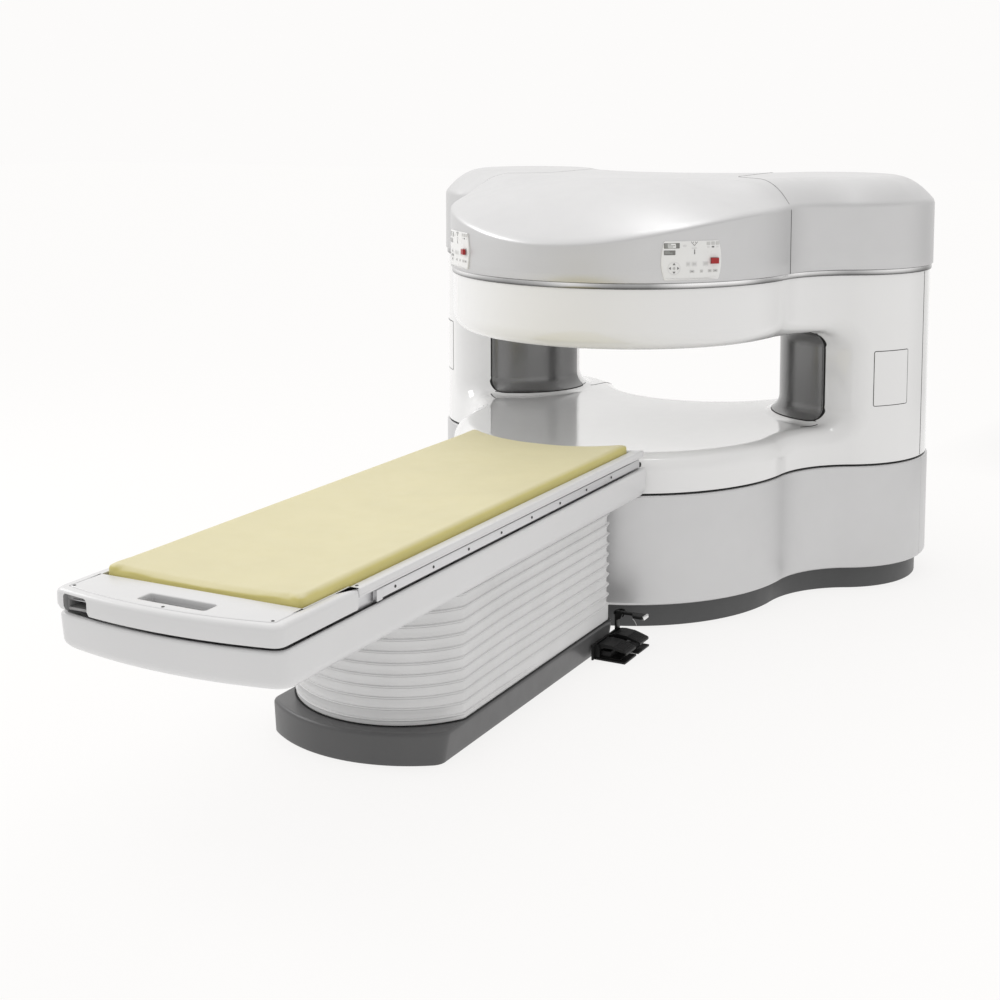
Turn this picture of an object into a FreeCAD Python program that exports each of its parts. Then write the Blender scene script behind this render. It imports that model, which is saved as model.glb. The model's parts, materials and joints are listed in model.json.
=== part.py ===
import FreeCAD, Part
import math
import os
import Sketcher
from FreeCAD import Vector, Placement, Rotation

# Open two-post magnetic resonance scanner with a lifting patient table.
# Millimetres. Origin on the floor under the centre of the magnet disc,
# +Z up, the table runs out along -Y, the two posts stand at +X and -X.

doc = FreeCAD.newDocument("mri_scanner")

# ---------------------------------------------------------------- dimensions
sheet = doc.addObject("Spreadsheet::Sheet", "dims")
DIMS = [
    # gantry plan: a disc in front, two lobes behind it, concave valleys between
    ("disc_rad", 800.0), ("lobe_rad", 460.0), ("lobe_px", 785.0), ("lobe_py", 640.0),
    ("valley_rad", 410.0), ("rear_rad", 454.9),
    ("plinth_inset", 50.0), ("skirt_inset", 4.0), ("body_inset", 12.0), ("band_inset", 6.0),
    ("wall", 8.0), ("split_py", 590.0),
    # gantry levels
    ("plinth_top", 100.0), ("skirt_top", 572.0), ("body_base", 581.0), ("pole_top", 740.0),
    ("gap_top", 1175.0), ("band_base", 1436.0), ("cap_base", 1461.0), ("cap_shoulder", 1750.0),
    ("cap_plateau", 1866.0), ("rim_round", 85.0),
    # posts
    ("post_px", 879.0), ("post_py", 633.0), ("post_rad", 320.0), ("post_flare", 345.0),
    ("yoke_post_rad", 250.0),
    # magnet
    ("magnet_rad", 600.0), ("coil_rad", 585.0), ("yoke_thick", 225.0), ("lower_yoke_z", 190.0),
    ("upper_yoke_z", 1500.0), ("magnet_thick", 205.0), ("gradient_thick", 60.0), ("rf_thick", 35.0),
    ("foot_rad", 70.0), ("foot_pad_rad", 90.0),
    # control panels and doors
    ("panel_ang", 46.5), ("panel_wide", 266.0), ("panel_tall", 160.0), ("panel_z", 1555.0),
    ("panel_thick", 6.0), ("door_low", 845.0), ("door_high", 1090.0),
    # table
    ("tray_hw", 410.0), ("tray_top", 778.0), ("tray_base", 750.0), ("tray_pan", 758.0),
    ("tray_neck_hw", 372.0), ("tray_shoulder_y", 2873.0), ("tray_near_y", 3286.0),
    ("tray_scoop", 845.0), ("slot_wide", 245.0), ("slot_deep", 62.0),
    ("mat_hw", 367.0), ("mat_near_y", 3099.0), ("mat_scoop", 858.0),
    ("carr_base", 570.0), ("carr_top", 700.0), ("carr_hw_low", 362.0), ("carr_hw_top", 409.0),
    ("carr_scoop", 815.0), ("cap_near_y", 3314.0), ("cap_far_y", 2875.0),
    ("rail_in", 384.0), ("rail_thick", 17.0), ("rail_low", 711.0), ("rail_tall", 32.0),
    ("rail_near_y", 2735.0), ("rail_far_y", 760.0),
    ("bel_hw", 350.0), ("bel_nose", 400.0), ("bel_near_y", 2342.0), ("bel_far_y", 920.0),
    ("bel_base", 110.0), ("bel_pleats", 11.0), ("bel_depth", 15.0),
    ("base_hw_low", 340.0), ("base_hw_top", 356.0), ("base_nose", 540.0),
    ("base_near_y", 2402.0), ("base_far_y", 905.0), ("base_tall", 110.0),
    ("plate_wide", 600.0), ("plate_deep", 1260.0), ("plate_thick", 20.0), ("plate_cy", 1600.0),
    ("anchor_sx", 520.0), ("anchor_sy", 1160.0), ("anchor_rad", 9.0),
    ("col_wide", 300.0), ("col_deep", 700.0), ("col_wall", 15.0), ("col_fit", 1.0),
    ("col_cy", 1600.0), ("col_outer_tall", 270.0), ("col_mid_z", 155.0), ("col_mid_tall", 265.0),
    ("col_in_z", 300.0), ("col_in_tall", 280.0),
    ("screw_pitch", 231.0), ("screw_rad", 5.0),
    ("beam_top", 741.0), ("strip_long", 2060.0), ("strip_thick", 8.7),
]
for i, (alias, value) in enumerate(DIMS, start=1):
    sheet.set("A%d" % i, alias)
    sheet.set("B%d" % i, repr(value))
    sheet.setAlias("B%d" % i, alias)
doc.recompute()


def val(alias):
    return float(sheet.get(alias))


def ref(text):
    # every word of the expression that is a dimension is read from the sheet
    out, word = "", ""
    names = {alias for alias, _ in DIMS}
    for ch in text + " ":
        if ch.isalnum() or ch == "_":
            word += ch
            continue
        if word:
            out += "dims." + word if word in names else word
            word = ""
        out += ch
    return out.strip()


NODES = {}


def keep(obj, label):
    obj.Label = label
    NODES[label] = obj
    return obj


# ------------------------------------------------------------ sketch helpers
def plane_of(body, role):
    for feature in body.Origin.OriginFeatures:
        if feature.Role == role:
            return feature
    raise RuntimeError("no plane " + role)


def new_body(label):
    return keep(doc.addObject("PartDesign::Body", label), label)


def new_sketch(body, name, height="0", role="XY_Plane"):
    sk = body.newObject("Sketcher::SketchObject", name)
    sk.AttachmentSupport = [(plane_of(body, role), "")]
    sk.MapMode = "FlatFace"
    sk.setExpression("AttachmentOffset.Base.z", "(" + ref(height) + ") * 1mm")
    return sk


def bind(sk, index, text):
    sk.setExpression("Constraints[%d]" % index, "(" + ref(text) + ") * 1mm")


def box_sketch(sk, wide, deep):
    # rectangle about the sketch's origin, both sizes bound to the sheet
    x, y = 50.0, 40.0
    corners = [Vector(-x, -y, 0), Vector(x, -y, 0), Vector(x, y, 0), Vector(-x, y, 0)]
    for k in range(4):
        sk.addGeometry(Part.LineSegment(corners[k], corners[(k + 1) % 4]), False)
    for k in range(4):
        sk.addConstraint(Sketcher.Constraint("Coincident", k, 2, (k + 1) % 4, 1))
    sk.addConstraint(Sketcher.Constraint("Horizontal", 0))
    sk.addConstraint(Sketcher.Constraint("Horizontal", 2))
    sk.addConstraint(Sketcher.Constraint("Vertical", 1))
    sk.addConstraint(Sketcher.Constraint("Vertical", 3))
    sk.addConstraint(Sketcher.Constraint("Symmetric", 0, 1, 1, 2, -1, 1))
    bind(sk, sk.addConstraint(Sketcher.Constraint("DistanceX", 0, 1, 0, 2, 2 * x)), wide)
    bind(sk, sk.addConstraint(Sketcher.Constraint("DistanceY", 1, 1, 1, 2, 2 * y)), deep)


def circle_sketch(sk, rad, px=None, py=None):
    g = sk.addGeometry(Part.Circle(Vector(10, 10, 0), Vector(0, 0, 1), 5.0), False)
    bind(sk, sk.addConstraint(Sketcher.Constraint("Radius", g, 5.0)), rad)
    if px is None:
        sk.addConstraint(Sketcher.Constraint("Coincident", g, 3, -1, 1))
    else:
        bind(sk, sk.addConstraint(Sketcher.Constraint("DistanceX", -1, 1, g, 3, 10.0)), px)
        bind(sk, sk.addConstraint(Sketcher.Constraint("DistanceY", -1, 1, g, 3, 10.0)), py)


def pad(body, sk, tall, name="pad"):
    f = body.newObject("PartDesign::Pad", name)
    f.Profile = sk
    f.setExpression("Length", "(" + ref(tall) + ") * 1mm")
    doc.recompute()
    return f


def pocket(body, sk, tall, name="pocket", through=False, up=True):
    before = body.Shape.Volume
    f = body.newObject("PartDesign::Pocket", name)
    f.Profile = sk
    if through:
        f.Type = 1
    else:
        f.setExpression("Length", "(" + ref(tall) + ") * 1mm")
    f.Reversed = up
    doc.recompute()
    if body.Shape.Volume > before - 1.0:
        raise RuntimeError("pocket cuts nothing: " + body.Label)
    return f


def place(obj, px="0", py="0", pz="0"):
    for axis, text in (("x", px), ("y", py), ("z", pz)):
        obj.setExpression("Placement.Base." + axis, "(" + ref(text) + ") * 1mm")


def block(label, wide, deep, tall, px="0", py="0", pz="0", turn=0.0, fillet=None):
    body = new_body(label)
    box_sketch(new_sketch(body, label + "_plan"), wide, deep)
    pad(body, body.Group[-1], tall, label + "_pad")
    if fillet:
        base = body.Tip
        edges = ["Edge%d" % (k + 1) for k, e in enumerate(base.Shape.Edges)
                 if len(e.Vertexes) == 2 and abs(e.Vertexes[0].X - e.Vertexes[1].X) < 1e-6
                 and abs(e.Vertexes[0].Y - e.Vertexes[1].Y) < 1e-6]
        f = body.newObject("PartDesign::Fillet", label + "_round")
        f.Base = (base, edges)
        f.setExpression("Radius", "(" + ref(fillet) + ") * 1mm")
        doc.recompute()
    if turn:
        body.Placement = Placement(Vector(0, 0, 0), Rotation(Vector(0, 0, 1), turn))
    place(body, px, py, pz)
    return body


def drum(label, rad, tall, px="0", py="0", pz="0", bore=None):
    body = new_body(label)
    circle_sketch(new_sketch(body, label + "_plan"), rad)
    pad(body, body.Group[-1], tall, label + "_pad")
    if bore:
        circle_sketch(new_sketch(body, label + "_bore_plan"), bore)
        pocket(body, body.Group[-1], tall, label + "_bore")
    place(body, px, py, pz)
    return body


# ------------------------------------------------------ the gantry's outline
def ang(v):
    return math.atan2(v.y, v.x)


def centres(off):
    # centres do not move when the outline is inset: convex radii shrink,
    # concave radii grow by the same amount
    lobe = Vector(val("lobe_px"), val("lobe_py"), 0)
    r1, r2 = val("disc_rad") + val("valley_rad"), val("lobe_rad") + val("valley_rad")
    dist = lobe.Length
    a = (r1 ** 2 - r2 ** 2 + dist ** 2) / (2 * dist)
    h = math.sqrt(r1 ** 2 - a ** 2)
    u = Vector(lobe.x / dist, lobe.y / dist, 0)
    valley = Vector(u.x * a + u.y * h, u.y * a - u.x * h, 0)
    reach = val("lobe_rad") + val("rear_rad")
    rear = Vector(0, val("lobe_py") + math.sqrt(reach ** 2 - val("lobe_px") ** 2), 0)
    return lobe, valley, rear


def arcs_of(off):
    # six tangent arcs, each as centre, radius, start angle, end angle (counterclockwise)
    lobe, valley, rear = centres(off)
    left = Vector(-lobe.x, lobe.y, 0)
    vleft = Vector(-valley.x, valley.y, 0)
    rd, rl = val("disc_rad") - off, val("lobe_rad") - off
    rv, rr = val("valley_rad") + off, val("rear_rad") + off
    o = Vector(0, 0, 0)
    tp = 2 * math.pi
    return [
        (o, rd, ang(vleft), ang(valley) + (tp if ang(valley) < ang(vleft) else 0)),
        (valley, rv, ang(lobe - valley), ang(o - valley)),
        (lobe, rl, ang(valley - lobe), ang(rear - lobe)),
        (rear, rr, ang(left - rear), ang(lobe - rear)),
        (left, rl, ang(rear - left), ang(vleft - left) + tp),
        (vleft, rv, ang(o - vleft), ang(left - vleft)),
    ]


def outline_sketch(sk, inset):
    off = inset_value(inset)
    for c, r, a0, a1 in arcs_of(off):
        sk.addGeometry(Part.ArcOfCircle(Part.Circle(c, Vector(0, 0, 1), r), a0, a1), False)
    add = sk.addConstraint
    C = Sketcher.Constraint
    for g1, p1, g2, p2 in ((0, 2, 1, 2), (1, 1, 2, 1), (2, 2, 3, 2), (3, 1, 4, 1), (4, 2, 5, 2), (5, 1, 0, 1)):
        add(C("Tangent", g1, p1, g2, p2))
    add(C("Coincident", 0, 3, -1, 1))
    add(C("Symmetric", 2, 3, 4, 3, -2))
    add(C("Equal", 2, 4))
    add(C("Equal", 1, 5))
    bind(sk, add(C("DistanceX", -1, 1, 2, 3, val("lobe_px"))), "lobe_px")
    bind(sk, add(C("DistanceY", -1, 1, 2, 3, val("lobe_py"))), "lobe_py")
    bind(sk, add(C("Radius", 0, val("disc_rad") - off)), "disc_rad - (%s)" % inset)
    bind(sk, add(C("Radius", 2, val("lobe_rad") - off)), "lobe_rad - (%s)" % inset)
    bind(sk, add(C("Radius", 1, val("valley_rad") + off)), "valley_rad + (%s)" % inset)
    bind(sk, add(C("Radius", 3, val("rear_rad") + off)), "rear_rad + (%s)" % inset)


def inset_value(text):
    total = 0.0
    for word in text.replace("+", " ").split():
        total += val(word) if word in {a for a, _ in DIMS} else float(word)
    return total


def outline_ring(label, low, tall, inset, wall, splits=()):
    # closed ring that follows the outline; splits are boxes taken away
    body = new_body(label)
    outline_sketch(new_sketch(body, label + "_outer", low), inset)
    pad(body, body.Group[-1], tall, label + "_pad")
    outline_sketch(new_sketch(body, label + "_inner", low), inset + " + " + wall)
    pocket(body, body.Group[-1], tall, label + "_hollow")
    return body


def half_cut(body, name, keep_front):
    # takes away the rear or the front half at the parting line across the lobes
    sk = new_sketch(body, name, "0")
    y0 = val("split_py")
    far = 3000.0
    ys = (y0 - 1.0, far) if keep_front else (-far, y0 + 1.0)
    pts = [Vector(-far, ys[0], 0), Vector(far, ys[0], 0), Vector(far, ys[1], 0), Vector(-far, ys[1], 0)]
    for k in range(4):
        sk.addGeometry(Part.LineSegment(pts[k], pts[(k + 1) % 4]), False)
    for k in range(4):
        sk.addConstraint(Sketcher.Constraint("Coincident", k, 2, (k + 1) % 4, 1))
    for k in (0, 2):
        sk.addConstraint(Sketcher.Constraint("Horizontal", k))
    for k in (1, 3):
        sk.addConstraint(Sketcher.Constraint("Vertical", k))
    edge = 0 if keep_front else 2
    shift = "split_py - 1" if keep_front else "split_py + 1"
    bind(sk, sk.addConstraint(Sketcher.Constraint("DistanceY", -1, 1, edge, 1, val("split_py"))), shift)
    sk.addConstraint(Sketcher.Constraint("DistanceX", 0, 1, -1, 1, far))
    sk.addConstraint(Sketcher.Constraint("DistanceX", 0, 1, 0, 2, 2 * far))
    sk.addConstraint(Sketcher.Constraint("DistanceY", 1, 1, 1, 2, ys[1] - ys[0]))
    pocket(body, sk, "0", name + "_cut", through=True)


# ----------------------------------------------------- helpers for mouldings
def outline_face(off, z):
    edges = []
    for c, r, a0, a1 in arcs_of(off):
        circle = Part.Circle(Vector(c.x, c.y, z), Vector(0, 0, 1), r)
        edges.append(Part.ArcOfCircle(circle, a0, a1).toShape())
    return Part.Face(Part.Wire(Part.__sortEdges__(edges)))


def prism(off, z0, z1):
    return outline_face(off, z0).extrude(Vector(0, 0, z1 - z0))


def poly(points, z0, z1):
    pts = [Vector(px, py, z0) for px, py in points]
    return Part.Face(Part.makePolygon(pts + [pts[0]])).extrude(Vector(0, 0, z1 - z0))


def slab(x0, x1, y0, y1, z0, z1):
    return Part.makeBox(x1 - x0, y1 - y0, z1 - z0, Vector(x0, y0, z0))


def cyl(r, z0, z1, px=0.0, py=0.0):
    return Part.makeCylinder(r, z1 - z0, Vector(px, py, z0))


def mirror(shape):
    return shape.mirror(Vector(0, 0, 0), Vector(1, 0, 0))


def arc_edge(c, r, a0, a1, z):
    return Part.ArcOfCircle(Part.Circle(Vector(c[0], c[1], z), Vector(0, 0, 1), r), a0, a1).toShape()


def seg(p, q, z):
    return Part.LineSegment(Vector(p[0], p[1], z), Vector(q[0], q[1], z)).toShape()


def sector(c, r0, r1, deg0, deg1, z0, z1):
    # part of a ring between two radii and two angles
    a0, a1 = math.radians(deg0), math.radians(deg1)
    ends = [(c[0] + r * math.cos(a), c[1] + r * math.sin(a)) for r, a in ((r0, a0), (r1, a0), (r1, a1), (r0, a1))]
    edges = [seg(ends[0], ends[1], z0), arc_edge(c, r1, a0, a1, z0), seg(ends[2], ends[3], z0), arc_edge(c, r0, a0, a1, z0)]
    return Part.Face(Part.Wire(Part.__sortEdges__(edges))).extrude(Vector(0, 0, z1 - z0))


def pie(c, r, deg0, deg1, z0, z1):
    return sector(c, 1.0, r, deg0, deg1, z0, z1)


def solid_of(shape):
    solids = shape.Solids
    if len(solids) == 1:
        return solids[0]
    return shape


def moulding(label, shape, where=None):
    obj = doc.addObject("Part::Feature", label)
    obj.Shape = shape
    obj.Placement = where if where else Placement(Vector(0, 0, 0), Rotation(0, 0, 0, 1))
    return keep(obj, label)


WALL = val("wall")

# ================================================================== gantry
# plinth: dark kick ring all round, set in from the body
outline_ring("gantry_plinth", "0", "plinth_top", "plinth_inset", "40")


# skirt: silver lower shell in two halves, with a bottom lip on the plinth and
# a top lip under the white body
def skirt(label, front):
    body = new_body(label)
    outline_sketch(new_sketch(body, label + "_outer", "plinth_top"), "skirt_inset")
    pad(body, body.Group[-1], "skirt_top - plinth_top", label + "_pad")
    outline_sketch(new_sketch(body, label + "_lip", "plinth_top"), "skirt_inset + 60")
    pocket(body, body.Group[-1], "12", label + "_lip_cut")
    outline_sketch(new_sketch(body, label + "_inner", "plinth_top + 8"), "skirt_inset + wall")
    pocket(body, body.Group[-1], "skirt_top - plinth_top - 20", label + "_hollow")
    outline_sketch(new_sketch(body, label + "_top", "skirt_top - 14"), "skirt_inset + 40")
    pocket(body, body.Group[-1], "20", label + "_top_cut")
    half_cut(body, label + "_half", front)
    return body


skirt("skirt_front", True)
skirt("skirt_rear", False)

LOBE = (val("lobe_px"), val("lobe_py"))
POST = (val("post_px"), val("post_py"))
Z = {name: val(name) for name in ("body_base", "pole_top", "gap_top", "band_base", "cap_base", "skirt_top")}


def rounded_puck(off, z0, z1, radius, top):
    # the outline's prism with the disc's front edge rounded over, at the top or at the bottom
    solid = prism(off, z0, z1)
    rd = val("disc_rad") - off
    if top:
        corner, centre_z, sign = z1, z1 - radius, 1.0
    else:
        corner, centre_z, sign = z0, z0 + radius, -1.0
    p0 = Vector(rd, 0, centre_z)
    p1 = Vector(rd - radius, 0, corner)
    mid = Vector(rd - radius + radius * math.cos(math.pi / 4), 0, centre_z + sign * radius * math.sin(math.pi / 4))
    out1 = Vector(rd - radius, 0, corner + sign * 30)
    out2 = Vector(rd + 60, 0, corner + sign * 30)
    out3 = Vector(rd + 60, 0, centre_z)
    wire = Part.Wire([Part.Arc(p0, mid, p1).toShape(), Part.LineSegment(p1, out1).toShape(),
                      Part.LineSegment(out1, out2).toShape(), Part.LineSegment(out2, out3).toShape(),
                      Part.LineSegment(out3, p0).toShape()])
    tool = Part.Face(wire)
    tool.rotate(Vector(0, 0, 0), Vector(0, 0, 1), -172)
    tool = tool.revolve(Vector(0, 0, 0), Vector(0, 0, 1), 164)
    return solid.cut(tool)


# the parting line of the rear covers in plan, right hand side
REAR = [(1300, val("split_py")), (820, val("split_py")), (820, 715), (530, 715), (470, 980), (470, 1300), (1300, 1300)]
REAR_L = [(-x, y) for x, y in REAR][::-1]


def grown(points, by):
    # parting polygon moved outward by a small joint gap
    out = []
    for px, py in points:
        out.append((px + (by if px < 800 and px > 0 else 0) - (by if -800 < px < 0 else 0), py + by))
    return out


inset = val("body_inset")
rim = val("rim_round")

# lower body: rim and the flat top of the lower pole, open underneath
low_out = rounded_puck(inset, Z["body_base"], Z["pole_top"], rim, True)
low_in = rounded_puck(inset + WALL, Z["body_base"] - 5, Z["pole_top"] - WALL, rim - WALL, True)
low_shell = low_out.cut(low_in)
spigot = prism(inset + 4, Z["skirt_top"], Z["body_base"] + 12).cut(prism(inset + 16, Z["skirt_top"] - 1, Z["body_base"] + 20))
low_shell = low_shell.fuse(spigot)

up_out = rounded_puck(inset, Z["gap_top"], Z["band_base"], rim, False)
up_in = rounded_puck(inset + WALL, Z["gap_top"] + WALL, Z["band_base"] + 5, rim - WALL, False)
up_shell = up_out.cut(up_in)


def column_plan(off, z):
    # column in plan: lobe wall outside, post circle inside, two slanting faces between
    r1, r2 = val("lobe_rad") - inset - off, val("post_rad") - off
    def hit_lobe(deg):
        a = math.radians(deg)
        return (LOBE[0] + r1 * math.cos(a), LOBE[1] + r1 * math.sin(a))
    def hit_post(deg):
        a = math.radians(deg)
        return (POST[0] + r2 * math.cos(a), POST[1] + r2 * math.sin(a))
    p1, p2 = hit_lobe(-62), hit_lobe(62)
    f, g = hit_post(267), hit_post(93)
    edges = [seg(f, p1, z), arc_edge(LOBE, r1, math.radians(-62), math.radians(62), z), seg(p2, g, z),
             arc_edge(POST, r2, math.radians(93), math.radians(267), z)]
    return Part.Face(Part.Wire(Part.__sortEdges__(edges)))


col_solid = column_plan(0, Z["pole_top"]).extrude(Vector(0, 0, Z["gap_top"] - Z["pole_top"]))
col_hollow = column_plan(WALL, Z["pole_top"] - 1).extrude(Vector(0, 0, Z["gap_top"] - Z["pole_top"] + 2))
col_shell = col_solid.cut(col_hollow)
# the front inner quarter of each post is the dark insert's
insert_zone = pie(POST, 360, 175, 267, Z["pole_top"] - 2, Z["gap_top"] + 2)
rear_zone = poly([(1300, val("split_py")), (700, val("split_py")), (500, 620), (470, 980), (470, 1300), (1300, 1300)],
                 Z["pole_top"] - 2, Z["gap_top"] + 2)
front_zone = poly([(1300, val("split_py") - 2), (879, val("split_py") - 2), (862, 250), (900, 180), (1300, 180)],
                  Z["pole_top"] - 2, Z["gap_top"] + 2)
door_cut = sector(LOBE, val("lobe_rad") - inset - 4, val("lobe_rad"), -48.5, -23.5, val("door_low") - 1.5, val("door_high") + 1.5)
column_right = solid_of(col_shell.common(front_zone).cut(insert_zone).cut(door_cut))
column_rear = col_shell.common(rear_zone).cut(insert_zone)
post_hole = cyl(val("post_rad") - 20, 0, 2000, *POST)
post_hole_l = cyl(val("post_rad") - 20, 0, 2000, -POST[0], POST[1])

rear_low = low_shell.common(poly(REAR, 500, 900)).cut(post_hole)
rear_up = up_shell.common(poly(REAR, 1000, 1500)).cut(post_hole)
rear_right = solid_of(rear_low.fuse([column_rear, rear_up]).removeSplitter())
REARG = [(px - (2 if 0 < px < 800 else 0), py - (2 if py < 1000 else 0)) for px, py in REAR]
REARG_L = [(-px, py) for px, py in REARG][::-1]
lower_main = low_shell.cut([poly(REARG, 500, 900), poly(REARG_L, 500, 900), post_hole, post_hole_l])
upper_main = up_shell.cut([poly(REARG, 1000, 1500), poly(REARG_L, 1000, 1500), post_hole, post_hole_l])

moulding("lower_cover", solid_of(lower_main))
moulding("upper_cover", solid_of(upper_main))
moulding("column_cover_right", column_right)
moulding("column_cover_left", mirror(column_right))
moulding("rear_cover_right", rear_right)
moulding("rear_cover_left", mirror(rear_right))

# post inserts: dark satin metal quarter shells with a flared foot ring
ins = sector(POST, val("post_rad") - 6, val("post_rad") - 0.5, 175.3, 266.7, Z["pole_top"], Z["gap_top"])
ins = ins.fuse(sector(POST, val("post_rad") - 6, val("post_flare"), 175.3, 266.7, Z["pole_top"], Z["pole_top"] + 8)).removeSplitter()
moulding("post_insert_right", solid_of(ins))
moulding("post_insert_left", mirror(solid_of(ins)))

# service doors, flush in the column covers
door = sector(LOBE, val("lobe_rad") - inset - 4, val("lobe_rad") - inset + 1, -48, -24, val("door_low"), val("door_high"))
moulding("access_panel_right", door)
moulding("access_panel_left", mirror(door))

# metal trim band between the white body and the silver caps
outline_ring("trim_band", "band_base", "cap_base - band_base", "band_inset", "10")


# silver caps: fascia wall and a domed top that rises towards the rear
EDGE = [(-830, 1612), (-800, 1622), (-740, 1647), (-700, 1663), (-600, 1692), (-530, 1709), (-400, 1730),
        (-300, 1740), (-100, 1750), (3000, 1750)]


def edge_height(py):
    for (y0, z0), (y1, z1) in zip(EDGE, EDGE[1:]):
        if py <= y1:
            t = max(0.0, (py - y0) / (y1 - y0))
            return z0 + (z1 - z0) * t
    return EDGE[-1][1]


def smooth(t):
    t = min(1.0, max(0.0, t))
    return t * t * (3 - 2 * t)


def outline_points():
    # points round the outline with their inward normals, counterclockwise from the left valley
    out = []
    for k, (c, r, a0, a1) in enumerate(arcs_of(0)):
        n = (30, 8, 24, 12, 24, 8)[k]
        concave = k in (1, 3, 5)
        for i in range(n):
            t = i / float(n)
            a = a1 + (a0 - a1) * t if concave else a0 + (a1 - a0) * t
            radial = Vector(math.cos(a), math.sin(a), 0)
            out.append((c + radial * r, radial if concave else radial * -1.0))
    return out


def dome_wire(s, inset_by, drop):
    # one closed curve of the dome: s = 0 is the fascia's top edge, s = 1 the plateau's rim
    pts = []
    for pt, normal in outline_points():
        front = 1.0 - smooth((pt.y + 330.0) / 330.0)
        z_edge = edge_height(pt.y)
        width = 205.0 + 435.0 * front
        power = 2.2 - 0.2 * front
        rise = 1 - (1 - s) ** power
        q = pt + normal * (inset_by * (1 - s) + width * s)
        pts.append(Vector(q.x, q.y, z_edge + (val("cap_plateau") - z_edge) * rise - drop))
    curve = Part.BSplineCurve()
    curve.interpolate(Points=pts, PeriodicFlag=True)
    return Part.Wire([curve.toShape()])


def flat_wire(inset_by, z):
    pts = [pt + normal * inset_by for pt, normal in outline_points()]
    curve = Part.BSplineCurve()
    curve.interpolate(Points=[Vector(q.x, q.y, z) for q in pts], PeriodicFlag=True)
    return Part.Wire([curve.toShape()])


STEPS = (0.0, 0.08, 0.18, 0.32, 0.5, 0.7, 1.0)
cap_out = Part.makeLoft([flat_wire(0, Z["cap_base"])] + [dome_wire(s, 0, 0) for s in STEPS], True, True)
cap_in = Part.makeLoft([flat_wire(WALL, Z["cap_base"] - 5)] + [dome_wire(s, WALL, WALL) for s in STEPS], True, True)
cap_shell = cap_out.cut(cap_in)
SEAM = [(1300, -50), (790, -50), (700, 20), (600, 50), (470, 166), (470, 1300), (1300, 1300)]
SEAM2 = [(1300, -52), (789, -52), (699, 18), (599, 48), (468, 165), (468, 1300), (1300, 1300)]
cap_r = cap_shell.common(poly(SEAM, 1400, 2000))
cap_c = cap_shell.cut([poly(SEAM2, 1400, 2000), poly([(-px, py) for px, py in SEAM2][::-1], 1400, 2000)])
moulding("top_cover_centre", solid_of(cap_c))
moulding("top_cover_right", solid_of(cap_r))
moulding("top_cover_left", mirror(solid_of(cap_r)))

# ------------------------------------------------------------- the magnet
# two yoke plates joined by two posts, a pole magnet on each, then the gradient
# coil and the transmit coil, mirrored about the middle of the patient gap


def yoke(label, low):
    disc = doc.addObject("Part::Cylinder", label + "_disc")
    disc.setExpression("Radius", "(" + ref("magnet_rad") + ") * 1mm")
    disc.setExpression("Height", "(" + ref("yoke_thick") + ") * 1mm")
    ends = []
    for side, sign in (("r", ""), ("l", "-")):
        c = doc.addObject("Part::Cylinder", label + "_end_" + side)
        c.setExpression("Radius", "(" + ref("yoke_post_rad + 60") + ") * 1mm")
        c.setExpression("Height", "(" + ref("yoke_thick") + ") * 1mm")
        place(c, sign + "post_px", "post_py", "0")
        ends.append(c)
    bar = doc.addObject("Part::Box", label + "_bar")
    bar.setExpression("Length", "(" + ref("post_px * 2") + ") * 1mm")
    bar.setExpression("Width", "300 mm")
    bar.setExpression("Height", "(" + ref("yoke_thick") + ") * 1mm")
    place(bar, "-post_px", "post_py - 310", "0")
    fuse = doc.addObject("Part::MultiFuse", label)
    fuse.Shapes = [disc, bar] + ends
    fuse.Refine = True
    place(fuse, "0", "0", low)
    doc.recompute()
    return keep(fuse, label)


yoke("yoke_lower", "lower_yoke_z")
yoke("yoke_upper", "upper_yoke_z")
drum("yoke_post_right", "yoke_post_rad", "upper_yoke_z - lower_yoke_z - yoke_thick", "post_px", "post_py", "lower_yoke_z + yoke_thick")
drum("yoke_post_left", "yoke_post_rad", "upper_yoke_z - lower_yoke_z - yoke_thick", "-post_px", "post_py", "lower_yoke_z + yoke_thick")
drum("magnet_lower", "magnet_rad", "magnet_thick", pz="lower_yoke_z + yoke_thick")
drum("magnet_upper", "magnet_rad", "magnet_thick", pz="upper_yoke_z - magnet_thick")
drum("gradient_coil_lower", "coil_rad", "gradient_thick", pz="lower_yoke_z + yoke_thick + magnet_thick")
drum("gradient_coil_upper", "coil_rad", "gradient_thick", pz="upper_yoke_z - magnet_thick - gradient_thick")
drum("rf_coil_lower", "coil_rad - 15", "rf_thick", pz="lower_yoke_z + yoke_thick + magnet_thick + gradient_thick")
drum("rf_coil_upper", "coil_rad - 15", "rf_thick", pz="upper_yoke_z - magnet_thick - gradient_thick - rf_thick")

# five feet under the lower yoke, one at the middle: pad, stud and collar
feet = None
for fx, fy in ((0, 0), (-430, -330), (430, -330), (-860, 633), (860, 633)):
    foot = cyl(val("foot_pad_rad"), 0, 24, fx, fy).fuse([cyl(32, 24, 90, fx, fy), cyl(val("foot_rad"), 90, val("lower_yoke_z"), fx, fy)]).removeSplitter()
    feet = [foot] if feet is None else feet + [foot]
moulding("magnet_feet", Part.makeCompound([solid_of(f) for f in feet]))


# --------------------------------------------------------- control panels
def panel_frame(sign):
    # local frame: x outward from the disc's axis, y along the wall
    deg = -val("panel_ang") if sign > 0 else -180 + val("panel_ang")
    return deg


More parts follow.
